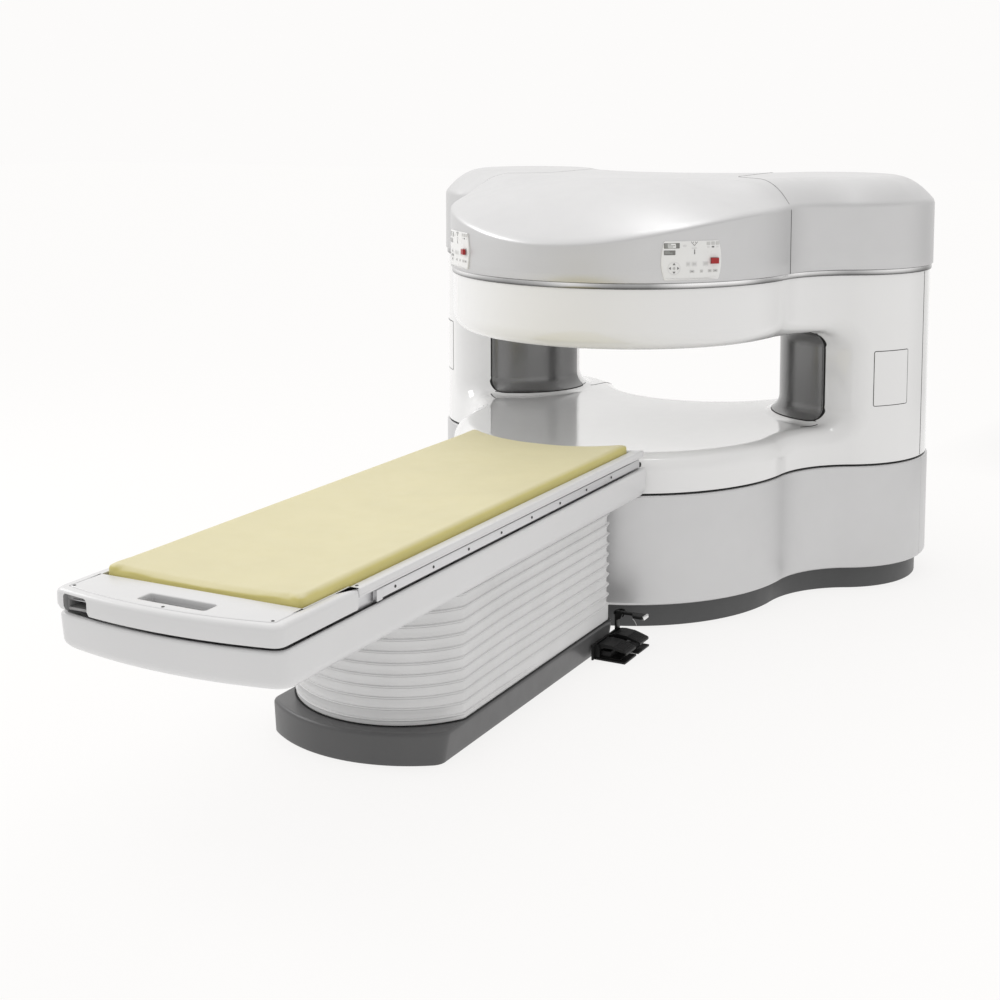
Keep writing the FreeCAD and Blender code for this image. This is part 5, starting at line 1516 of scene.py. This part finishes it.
slot_loop = rect_loop(0.012 - 0.1225, 0.012 + 0.1225, -3.215 - 0.031, -3.215 + 0.031, 0.010, 5)
am = math.asin(0.369 / 0.856)
rec = [(-0.369, -3.101), (0.369, -3.101)] + [(0.369, -3.101 + (3.101 - 0.7724) * i / 30) for i in range(1, 30)]
rec += arc_pts(0, 0, 0.856, -math.pi / 2 + am, -math.pi / 2 - am, 24) + [(-0.369, -0.7724 - (3.101 - 0.7724) * i / 30) for i in range(1, 30)]
b = Build()
plate(b, t_out, [slot_loop, rec], 0.7582, 0.778, 0.0045, 0.0005, 4)
plate(b, t_out, [slot_loop], 0.750, 0.7580, 0.0003, 0.0035, 4)
for s in (-1, 1):
    x0, x1 = sorted((s * 0.3692, s * 0.3734))
    b.add(*rbox((x0, -3.099, 0.7584), (x1, -2.8735, 0.7774), 0.0010, 2))
ob = b.make("tray_shell", MAT["table_white"], "tabletop", "table_white", 30.0)
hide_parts("tray")

# side rails with rounded edges and a near-end bracket
b = Build()
for s in (-1, 1):
    x0, x1 = sorted((s * 0.384, s * 0.401))
    b.add(*rbox((x0, -2.735, 0.711), (x1, -0.760, 0.743), 0.0022, 3))
ob = b.make("side_rails", MAT["alloy"], "carriage", "alloy", 30.0)
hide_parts("side_rail_left", "side_rail_right")
b = Build()
for s in (-1, 1):
    x0, x1 = sorted((s * 0.3845, s * 0.405))
    b.add(*rbox((x0, -2.768, 0.706), (x1, -2.7355, 0.7455), 0.005, 4))
ob = b.make("rail_end_blocks", MAT["alloy"], "carriage", "alloy", 30.0)
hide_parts("rail_brackets")
b = Build()
for s in (-1, 1):
    for k in range(8):
        y = -2.661 + 0.231 * k
        b.add(*revolve([(0.0001, 0.0), (0.0050, 0.0), (0.0050, 0.0012), (0.0044, 0.0018), (0.0024, 0.0018), (0.0020, 0.0006), (0.0001, 0.0006)],
                       (s * 0.4010, y, 0.727), (s, 0, 0), 20))
ob = b.make("rail_screw_heads", MAT["screw_dark"], "carriage", "screw_dark", 40.0)
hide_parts("rail_screws")
b = Build()
for s in (-1, 1):
    b.add(*revolve([(0.004, 0.0), (0.009, 0.0), (0.011, 0.002), (0.011, 0.014), (0.0095, 0.0162), (0.005, 0.017), (0.004, 0.015)],
                   (s * 0.384, -0.749, 0.718), (s, 0, 0), 28))
ob = b.make("rail_end_rollers_round", MAT["roller_black"], "carriage", "roller_black", 40.0)
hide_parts("rail_end_rollers")


# bellows and base
def nose_loop(hw, nose, near, far, corner=0.030, soft=0.055, n_nose=60, n_soft=14, n_side=60, n_c=6, n_far=20):
    cy = -near + nose
    sx = hw - soft
    sy = cy - math.sqrt((nose - soft) ** 2 - sx ** 2)
    a = math.asin(sx / (nose - soft))
    pts = arc_pts(0, cy, nose, -math.pi / 2 - a, -math.pi / 2 + a, n_nose)
    ease = arc_pts(sx, sy, soft, -math.pi / 2 + a, 0.0, n_soft)[1:]
    y1 = -far - corner
    side = [(hw, sy + (y1 - sy) * i / n_side) for i in range(1, n_side + 1)]
    cor = arc_pts(hw - corner, -far - corner, corner, 0, math.pi / 2, n_c)[1:]
    pts += ease + side + cor
    pts += [((hw - corner) * (1 - 2 * i / n_far), -far) for i in range(1, n_far)]
    pts += [(-x, y) for x, y in reversed(cor)]
    pts += [(-x, y) for x, y in reversed(side)]
    pts += [(-x, y) for x, y in reversed(ease)]
    return pts


b = Build()
PLEATS = 11
z_lo, z_hi = 0.1125, 0.5690
pitch = (0.570 - 0.110) / PLEATS
lips = [0.110 + (k + 0.5) * pitch for k in range(PLEATS)]
# heights of the rows: the foot band, then each pleat's thin lip with a groove on either side
rows_b = [(z_lo, 0.020, 0, 0.0), (z_lo, 0.0035, 0, 0.0), (z_lo + 0.006, 0.0030, 0, 0.0)]
for k, zl in enumerate(lips):
    z_next = lips[k + 1] if k + 1 < PLEATS else 0.600
    if k == 0:
        rows_b += [(zl - 0.0075, 0.0034, k, 0.0)]
    rows_b += [(zl - 0.0046, 0.0042, k, 0.6), (zl - 0.0034, 0.0064, k, 1.0), (zl - 0.0024, 0.0050, k, 1.0), (zl - 0.0016, 0.0012, k, 1.0),
               (zl - 0.0006, 0.0002, k, 1.0), (zl + 0.0008, 0.0, k, 1.0), (zl + 0.0020, 0.0004, k, 1.0), (zl + 0.0028, 0.0016, k, 1.0),
               (zl + 0.0036, 0.0052, k, 1.0), (zl + 0.0046, 0.0062, k, 1.0), (zl + 0.0060, 0.0050, k, 0.8)]
    if z_next < 0.59:
        rows_b += [(zl + 0.0100, 0.0050, k, 0.0), (zl + 0.0155, 0.0062, k, 0.0), (zl + 0.0215, 0.0066, k, 0.0), (zl + 0.0275, 0.0058, k, 0.0),
                   (zl + 0.0325, 0.0044, k, 0.0)]
rows_b += [(z_hi, 0.0045, PLEATS - 1, 0.0), (z_hi, 0.020, PLEATS - 1, 0.0)]
ref = nose_loop(0.350, 0.400, 2.342, 0.920)
n_loop = len(ref)
ref_n = loop_normals2(ref)
vs = []
for z, ins, k, lipness in rows_b:
    for (x, y), nn in zip(ref, ref_n):
        # the folds dip deeper at the two far corners and gather towards the nose
        far_w = max(0.0, 1 - math.hypot(abs(x) - 0.350, y + 0.920) / 0.075)
        nose_w = smooth((-y - 1.75) / 0.55)
        fade = 1.0
        if k == 0:
            fade = 1 - smooth((y + 1.95) / 0.5)
            base_in = 0.0034
            d = base_in + (ins - base_in) * fade if z > z_lo + 0.003 else ins
        else:
            d = ins
        if z > z_lo + 0.003 and z < z_hi - 0.001 and lipness < 0.5 and k > 0:
            d += 0.0065 * far_w
        tip = 0.0
        if lipness >= 1.0 and far_w > 0:
            tip = 0.003 * far_w
        zz = z + tip
        if z_lo + 0.003 < z < z_hi - 0.001:
            t = (z - 0.110) / 0.460
            zz -= nose_w * 0.022 * math.sin(math.pi * min(1.0, t * 1.02)) * (0.35 + 0.65 * t)
        nl = math.hypot(nn[0], nn[1])
        vs.append((x - nn[0] / nl * d, y - nn[1] / nl * d, zz))
fs = grid_faces(len(rows_b), n_loop, wrap_c=True)
b.add(vs, fs)
ob = b.make("bellows_sleeve", MAT["bellows_white"], None, "bellows_white", 42.0)
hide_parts("bellows")
# the heights are remapped as though the foot stayed on the base and every pleat took the same share of the travel, then
# set back to their rest values, so the sleeve is left as built
co = np.empty(3 * len(ob.data.vertices))
ob.data.vertices.foreach_get("co", co)
z_rest = co[2::3].copy()
share = np.clip((z_rest - z_lo) / (z_hi - z_lo), 0.0, 1.0)
co[2::3] = z_lo + (z_hi - z_lo) * (0.5 - np.sin(np.arcsin(1 - 2 * share) / 3))
ob.data.vertices.foreach_set("co", co)
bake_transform(ob)
co[2::3] = z_rest
ob.data.vertices.foreach_set("co", co)
ob.data.update()

b = Build()
lv = []
BASE_T = 0.110


def base_loop(z, ins=0.0):
    f = z / BASE_T
    return (nose_loop(0.340 + 0.016 * f - ins, 0.540 - ins, 2.402 - ins, 0.905 + ins, 0.030, 0.055 - ins), z)


def opening_loop(loop):
    # the same points drawn in to the opening that the column stands in
    hx, hy, cy = 0.290, (2.165 - 0.960) / 2, -(2.165 + 0.960) / 2
    out = []
    for x, y in loop:
        k = min(1.0, hx / max(abs(x), 1e-6), hy / max(abs(y - cy), 1e-6))
        out.append((x * k, cy + (y - cy) * k))
    return out


for k in range(4):
    t = math.pi / 2 * k / 3
    z = 0.0005 + 0.003 * (1 - math.cos(t))
    lv.append(base_loop(z, 0.003 * (1 - math.sin(t))))
for z in (0.02, 0.055, 0.085):
    lv.append(base_loop(z))
for k in range(9):
    t = math.pi / 2 * k / 8
    z = BASE_T - 0.013 + 0.013 * math.sin(t)
    lv.append(base_loop(z, 0.013 * (1 - math.cos(t))))
lv.append((nose_loop(0.356 - 0.018, 0.540 - 0.018, 2.402 - 0.018, 0.905 + 0.018, 0.020, 0.037), BASE_T))
lv.append((nose_loop(0.356 - 0.050, 0.540 - 0.090, 2.402 - 0.090, 0.905 + 0.050, 0.015, 0.015), BASE_T))
lv.append((nose_loop(0.356 - 0.053, 0.540 - 0.093, 2.402 - 0.093, 0.905 + 0.053, 0.012, 0.012), BASE_T - 0.004))
lv.append((opening_loop(lv[-1][0]), BASE_T - 0.004))
lv.append((lv[-1][0], BASE_T - 0.020))
loft(b, lv, False, False)
ob = b.make("base_shell", MAT["base_grey"], "frame", "base_grey", 34.0)
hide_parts("base_cover")
b = Build()
joint_out = nose_loop(0.3525, 0.4025, 2.3445, 0.9175)
joint_in = opening_loop(joint_out)
loft(b, [(joint_out, 0.1102), (joint_out, 0.1132), (joint_in, 0.1132), (joint_in, 0.1102), (joint_out, 0.1102)], False, False)
b.make("bellows_foot_joint", M_GAP, "frame", "glide_black")


# --------------------------------------------------------------------------
# mattress
# --------------------------------------------------------------------------
def mattress():
    hw, near, scoop = 0.362, 3.094, 0.863
    base_z = 0.7590
    nu, nv = 40, 120
    vs = []

    def top_z(u):
        # hollowed along the middle, with full rolled sides
        return 0.7890 + 0.0150 * min(1.0, abs(u)) ** 2.2

    def plan(u, v):
        x = u * hw
        far = -math.sqrt(scoop ** 2 - x ** 2)
        return x, -near + (far + near) * v

    rows = []
    r_e = 0.012
    # closed pad: bottom loop, rolled side, crowned top
    def row(ins, zf):
        out = []
        for j in range(nv + 1):
            for i in range(nu + 1):
                u, v = -1 + 2 * i / nu, j / nv
                x, y = plan(u, v)
                out.append((x, y, zf(u)))
        return out

    verts = row(0, top_z) + row(0, lambda u: base_z)
    n = (nu + 1) * (nv + 1)
    faces = grid_faces(nv + 1, nu + 1)
    faces += [tuple(n + q for q in reversed(f)) for f in grid_faces(nv + 1, nu + 1)]
    rim = [i for i in range(nu + 1)] + [j * (nu + 1) + nu for j in range(1, nv + 1)] + \
          [nv * (nu + 1) + i for i in range(nu - 1, -1, -1)] + [j * (nu + 1) for j in range(nv - 1, 0, -1)]
    for q in range(len(rim)):
        a, c = rim[q], rim[(q + 1) % len(rim)]
        faces.append((a, c, n + c, n + a))
    me = bpy.data.meshes.new("mattress_pad")
    me.from_pydata(verts, [], faces)
    ob = bpy.data.objects.new("mattress_pad", me)
    bpy.context.scene.collection.objects.link(ob)
    fix_normals(ob)
    # round the long edges and the plan corners
    bm = bmesh.new()
    bm.from_mesh(ob.data)
    upright = [e for e in bm.edges if len(e.link_faces) == 2 and e.calc_face_angle(0) > 1.0 and abs(e.verts[0].co.z - e.verts[1].co.z) > 0.01]
    bmesh.ops.bevel(bm, geom=upright, offset=0.028, segments=6, profile=0.5, affect="EDGES")
    sharp = [e for e in bm.edges if len(e.link_faces) == 2 and e.calc_face_angle(0) > 0.9 and e.verts[0].co.z > 0.77 and e.verts[1].co.z > 0.77]
    bmesh.ops.bevel(bm, geom=sharp, offset=0.013, segments=4, profile=0.5, affect="EDGES", clamp_overlap=True)
    bm.to_mesh(ob.data)
    bm.free()
    ob.data.materials.append(MAT["vinyl_yellow"])
    rm = ob.modifiers.new("r", "REMESH")
    rm.mode = "VOXEL"
    rm.voxel_size = 0.0065
    rm.adaptivity = 0.0
    bpy.context.view_layer.update()
    dg = bpy.context.evaluated_depsgraph_get()
    me = bpy.data.meshes.new_from_object(ob.evaluated_get(dg))
    ob.modifiers.clear()
    ob.data = me
    rest = np.array([v.co[:] for v in me.vertices])
    pin = ob.vertex_groups.new(name="hold")
    low = [i for i, q in enumerate(rest) if q[2] < base_z + 0.006]
    pin.add(low, 1.0, "REPLACE")
    cl = ob.modifiers.new("cloth", "CLOTH")
    st = cl.settings
    st.quality = 5
    st.mass = 0.35
    st.use_pressure = True
    st.uniform_pressure_force = 4.0
    st.tension_stiffness = 18
    st.compression_stiffness = 18
    st.shear_stiffness = 8
    st.bending_stiffness = 1.2
    st.vertex_group_mass = "hold"
    st.effector_weights.gravity = 0.0
    sc = bpy.context.scene
    for f in range(1, 15):
        sc.frame_set(f)
    dg = bpy.context.evaluated_depsgraph_get()
    me2 = bpy.data.meshes.new_from_object(ob.evaluated_get(dg))
    moved = np.array([v.co[:] for v in me2.vertices])
    ob.modifiers.clear()
    sc.frame_set(1)
    d = moved - rest
    l = np.linalg.norm(d, axis=1)
    cap_l = 0.006
    d *= (np.minimum(l, cap_l) / np.maximum(l, 1e-9))[:, None]
    new = rest + d
    # the pad lies flat on the tray: its underside stays down
    new[:, 2] = np.maximum(new[:, 2], base_z)
    new[:, 2] = np.where(rest[:, 2] < base_z + 0.004, base_z, new[:, 2])
    # and it keeps inside the rim of the tray below the rim's top
    lowp = new[:, 2] < 0.7795
    new[lowp, 0] = np.clip(new[lowp, 0], -0.3655, 0.3655)
    new[lowp, 1] = np.maximum(new[lowp, 1], -3.0975)
    new[:, 2] = np.minimum(new[:, 2], 0.8120)
    ob.data.vertices.foreach_set("co", new.astype(np.float32).ravel())
    ob.data.update()
    for p in ob.data.polygons:
        p.use_smooth = True
    # even out the voxel steps left by the remesh
    sm = ob.modifiers.new("s", "SMOOTH")
    sm.factor = 0.5
    sm.iterations = 6
    bpy.context.view_layer.update()
    dg = bpy.context.evaluated_depsgraph_get()
    me = bpy.data.meshes.new_from_object(ob.evaluated_get(dg))
    ob.modifiers.clear()
    ob.data = me
    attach(ob, "tabletop")
    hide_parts("mattress")
    return ob


mat_ob = mattress()


# --------------------------------------------------------------------------
# pedals
# --------------------------------------------------------------------------
def extrude_y(profile, y0, y1):
    n = len(profile)
    vs = [(x, y0, z) for x, z in profile] + [(x, y1, z) for x, z in profile]
    return vs, [tuple(range(n)), tuple(reversed(range(n, 2 * n)))] + [(i, n + i, n + (i + 1) % n, (i + 1) % n) for i in range(n)]


def tread(name, node, y0, y1, body):
    b = Build()
    # side cheeks and cranked top plate with a turned-down toe
    top = [(0.371, 0.058), (0.380, 0.064), (0.400, 0.066), (0.440, 0.063), (0.468, 0.055), (0.493, 0.047), (0.4985, 0.044),
           (0.4985, 0.034), (0.494, 0.033), (0.492, 0.041), (0.466, 0.050), (0.438, 0.0585), (0.400, 0.0615), (0.382, 0.0595), (0.371, 0.053)]
    rounded = [tuple(q) for q in fillet_profile(top, 0.0016, 2)]
    b.add(*extrude_y(rounded, y0, y1))
    cheek = [tuple(q) for q in fillet_profile([(0.371, 0.043), (0.371, 0.060), (0.382, 0.0625), (0.400, 0.0630), (0.440, 0.060), (0.470, 0.0525),
                                               (0.488, 0.046), (0.480, 0.042), (0.440, 0.050), (0.402, 0.0500), (0.388, 0.043)], 0.0015, 2)]
    for ya in (y0 + 0.0008, y1 - 0.0048):
        b.add(*extrude_y(cheek, ya, ya + 0.004))
    # grip ribs across the sloping tread
    for k in range(6):
        x = 0.444 + 0.0078 * k
        z = 0.0625 - (x - 0.440) * 0.30
        b.add(*rbox((x, y0 + 0.006, z), (x + 0.0030, y1 - 0.006, z + 0.0024), 0.0007, 1))
    ob = b.make(name, MAT["pedal_black"], body, "pedal_black", 35.0)
    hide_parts(node)


tread("pedal_tread_up", "pedal_up", -1.1057, -1.0103, "pedal_up_body")
tread("pedal_tread_down", "pedal_down", -0.9687, -0.8803, "pedal_down_body")

b = Build()
b.add(*rbox((0.3572, -1.130, 0.0005), (0.366, -0.866, 0.062), 0.0022, 2))
for y0, y1 in ((-1.116, -1.000), (-0.980, -0.868)):
    b.add(*rbox((0.366, y0, 0.0005), (0.497, y1, 0.009), 0.002, 2))
    b.add(*rbox((0.372, y0 + 0.010, 0.009), (0.470, y1 - 0.010, 0.0125), 0.001, 1))
b.add(*rbox((0.366, -1.000, 0.0005), (0.452, -0.980, 0.007), 0.002, 2))
for y0, y1 in ((-1.098, -1.018), (-0.961, -0.888)):
    b.add(*rbox((0.3655, y0, 0.009), (0.428, y1, 0.036), 0.003, 2))
b.add(*rbox((0.3572, -0.903, 0.0615), (0.366, -0.866, 0.136), 0.002, 2))
b.add(*rbox((0.352, -0.903, 0.1225), (0.366, -0.866, 0.136), 0.002, 2))
for y0 in (-1.112, -1.010, -0.975, -0.880):
    pr = [tuple(q) for q in fillet_profile([(0.3655, 0.009), (0.386, 0.009), (0.386, 0.050), (0.380, 0.060), (0.3655, 0.060)], [0, 0.002, 0.006, 0.006, 0], 4)]
    b.add(*extrude_y(pr, y0, y0 + 0.006))
for y0 in (-0.903, -0.872):
    pr = [tuple(q) for q in fillet_profile([(0.3655, 0.100), (0.384, 0.108), (0.391, 0.126), (0.388, 0.140), (0.3655, 0.140)], [0, 0.004, 0.006, 0.005, 0], 4)]
    b.add(*extrude_y(pr, y0, y0 + 0.006))
ob = b.make("pedal_frame", MAT["pedal_black"], "frame", "pedal_black", 35.0)
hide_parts("pedal_mount")

b = Build()
lp = [tuple(q) for q in fillet_profile([(0.374, -0.8965), (0.432, -0.8965), (0.446, -0.925), (0.486, -0.925), (0.486, -0.8725), (0.374, -0.8725)],
                                       [0.004, 0.010, 0.006, 0.004, 0.004, 0.004], 4)]
plate(b, lp, [], 0.1245, 0.1355, 0.0025, 0.0025, 3)
edge = [(0.448, -0.9275, 0.124), (0.456, -0.9290, 0.118), (0.462, -0.9290, 0.109), (0.465, -0.9285, 0.100)]
b.add(*tube(edge, 0.0018, 8), 1)
ob = b.make("release_lever_plate", [MAT["pedal_black"], M_EDGE], "release_body", "pedal_black", 35.0)
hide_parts("release_lever")
b = Build()
b.add(*rbox((0.4862, -0.922, 0.1220), (0.497, -0.875, 0.1380), 0.0042, 4))
ob = b.make("release_lever_tip", MAT["tip_chrome"], "release_body", "tip_chrome", 35.0)
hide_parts("lever_tip")

# --------------------------------------------------------------------------
# stage, light and camera
# --------------------------------------------------------------------------
floor_m = bpy.data.materials.new("studio_floor")
floor_m.use_nodes = True
fb = floor_m.node_tree.nodes["Principled BSDF"]
fb.inputs["Base Color"].default_value = (0.155, 0.155, 0.154, 1)
fb.inputs["Roughness"].default_value = 0.95
fb.inputs["Specular IOR Level"].default_value = 0.0
fb.inputs["Emission Color"].default_value = (1.0, 0.990, 0.982, 1)
fn = floor_m.node_tree
ft = fn.nodes.new("ShaderNodeTexCoord")
fl = fn.nodes.new("ShaderNodeVectorMath")
fl.operation = "LENGTH"
fn.links.new(ft.outputs["Object"], fl.inputs[0])
fd = fn.nodes.new("ShaderNodeVectorMath")
fd.operation = "NORMALIZE"
fn.links.new(ft.outputs["Object"], fd.inputs[0])


def fmath(op, a, b, clamp=False):
    n = fn.nodes.new("ShaderNodeMath")
    n.operation = op
    n.use_clamp = clamp
    for i, q in enumerate((a, b)):
        if isinstance(q, (int, float)):
            n.inputs[i].default_value = q
        else:
            fn.links.new(q, n.inputs[i])
    return n.outputs[0]


def floor_glow_shade(ux, uy, start, depth, r0, r1):
    dt = fn.nodes.new("ShaderNodeVectorMath")
    dt.operation = "DOT_PRODUCT"
    fn.links.new(fd.outputs[0], dt.inputs[0])
    dt.inputs[1].default_value = (ux, uy, 0)
    f = fmath("MULTIPLY", fmath("SUBTRACT", dt.outputs["Value"], start), 1.0 / (1.0 - start), True)
    r = fmath("MULTIPLY", fmath("SUBTRACT", fl.outputs["Value"], r0), 1.0 / (r1 - r0), True)
    return fmath("MULTIPLY", fmath("MULTIPLY", f, r), depth)


# painted shade on the glowing floor: two dimmer patches far out, behind to the right and in front to the left, lower
# its glow and darken its reflections in the gantry
shade = fmath("ADD", floor_glow_shade(0.60, 0.80, 0.89, 0.40, 3.0, 6.0), floor_glow_shade(-0.42, -0.907, 0.70, 0.17, 3.6, 9.0))
fn.links.new(fmath("MULTIPLY", fmath("SUBTRACT", 1.0, shade), 0.82), fb.inputs["Emission Strength"])
me = bpy.data.meshes.new("studio_floor")
me.from_pydata([(-40, -40, -0.0005), (40, -40, -0.0005), (40, 40, -0.0005), (-40, 40, -0.0005)], [], [(0, 1, 2, 3)])
me.materials.append(floor_m)
floor = bpy.data.objects.new("studio_floor", me)
bpy.context.scene.collection.objects.link(floor)

world = bpy.data.worlds.new("studio")
bpy.context.scene.world = world
world.use_nodes = True
wn = world.node_tree
wn.nodes.clear()
wo = wn.nodes.new("ShaderNodeOutputWorld")
bg = wn.nodes.new("ShaderNodeBackground")
bg.inputs["Color"].default_value = (1.0, 0.990, 0.982, 1)
wn.links.new(bg.outputs[0], wo.inputs[0])


def wmath(op, a, b=None, c=None, clamp=False):
    n = wn.nodes.new("ShaderNodeMath")
    n.operation = op
    n.use_clamp = clamp
    for i, q in enumerate((a, b, c)):
        if q is None:
            continue
        if isinstance(q, (int, float)):
            n.inputs[i].default_value = q
        else:
            wn.links.new(q, n.inputs[i])
    return n.outputs[0]


# a white room: bright on the left and overhead, dimmer behind to the right and in front to the left
wt = wn.nodes.new("ShaderNodeTexCoord")
ws = wn.nodes.new("ShaderNodeSeparateXYZ")
wn.links.new(wt.outputs["Generated"], ws.inputs[0])
wx, wy, wz = ws.outputs[0], ws.outputs[1], ws.outputs[2]


def dip(ux, uy, start, depth):
    # 0 where the direction is away from (ux, uy), rising to depth along it
    dot = wmath("ADD", wmath("MULTIPLY", wx, ux), wmath("MULTIPLY", wy, uy))
    f = wmath("MULTIPLY", wmath("SUBTRACT", dot, start), 1.0 / (1.0 - start), None, True)
    return wmath("MULTIPLY", f, depth)


high = wmath("MULTIPLY_ADD", wz, 3.2, -0.55, True)
side_t = wmath("ADD", wmath("MULTIPLY", wx, -0.36), wmath("MULTIPLY", wy, 0.16))
level = wmath("ADD", 0.98, side_t)
zen = wmath("MULTIPLY", wmath("POWER", wmath("MAXIMUM", wz, 0.0), 3.0), 0.18)
lit = wmath("ADD", level, zen)
mixed = wmath("ADD", wmath("MULTIPLY", high, lit), wmath("MULTIPLY", wmath("SUBTRACT", 1.0, high), 0.975))
dips = wmath("ADD", dip(0.55, 0.835, 0.86, 0.26), dip(-0.42, -0.907, 0.55, 0.26))
wn.links.new(wmath("MULTIPLY", mixed, wmath("SUBTRACT", 1.0, dips)), bg.inputs["Strength"])


def area(name, loc, target, size, power, color=(1, 1, 1)):
    li = bpy.data.lights.new(name, "AREA")
    li.shape = "RECTANGLE"
    li.size, li.size_y = size
    li.energy = power
    li.color = color
    ob = bpy.data.objects.new(name, li)
    ob.location = loc
    ob.rotation_euler = (Vector(target) - Vector(loc)).to_track_quat("-Z", "Y").to_euler()
    ob.visible_camera = False
    bpy.context.scene.collection.objects.link(ob)
    return ob


area("key_left", (-5.2, -2.2, 4.2), (0.0, -0.6, 0.9), (2.6, 1.6), 70)
area("top_strip", (0.5, -0.1, 4.8), (0.3, -0.4, 0.8), (2.0, 0.55), 12)

cam_d = bpy.data.cameras.new("camera")
cam_d.sensor_width = 36.0
cam_d.lens = 1604.391 / 1000.0 * 36.0
cam_d.shift_x = -0.01733
cam_d.shift_y = -0.22
cam_d.clip_start, cam_d.clip_end = 0.05, 200
cam = bpy.data.objects.new("camera", cam_d)
bpy.context.scene.collection.objects.link(cam)
az, el = math.radians(27.40896), math.radians(6.28747)
back = Vector((math.sin(az) * math.cos(el), -math.cos(az) * math.cos(el), math.sin(el)))
cam.location = (2.93253, -6.73156, 2.19628)
cam.rotation_mode = "QUATERNION"
cam.rotation_quaternion = (-back).to_track_quat("-Z", "Y")
bpy.context.scene.camera = cam
bpy.context.scene.view_settings.view_transform = "Standard"
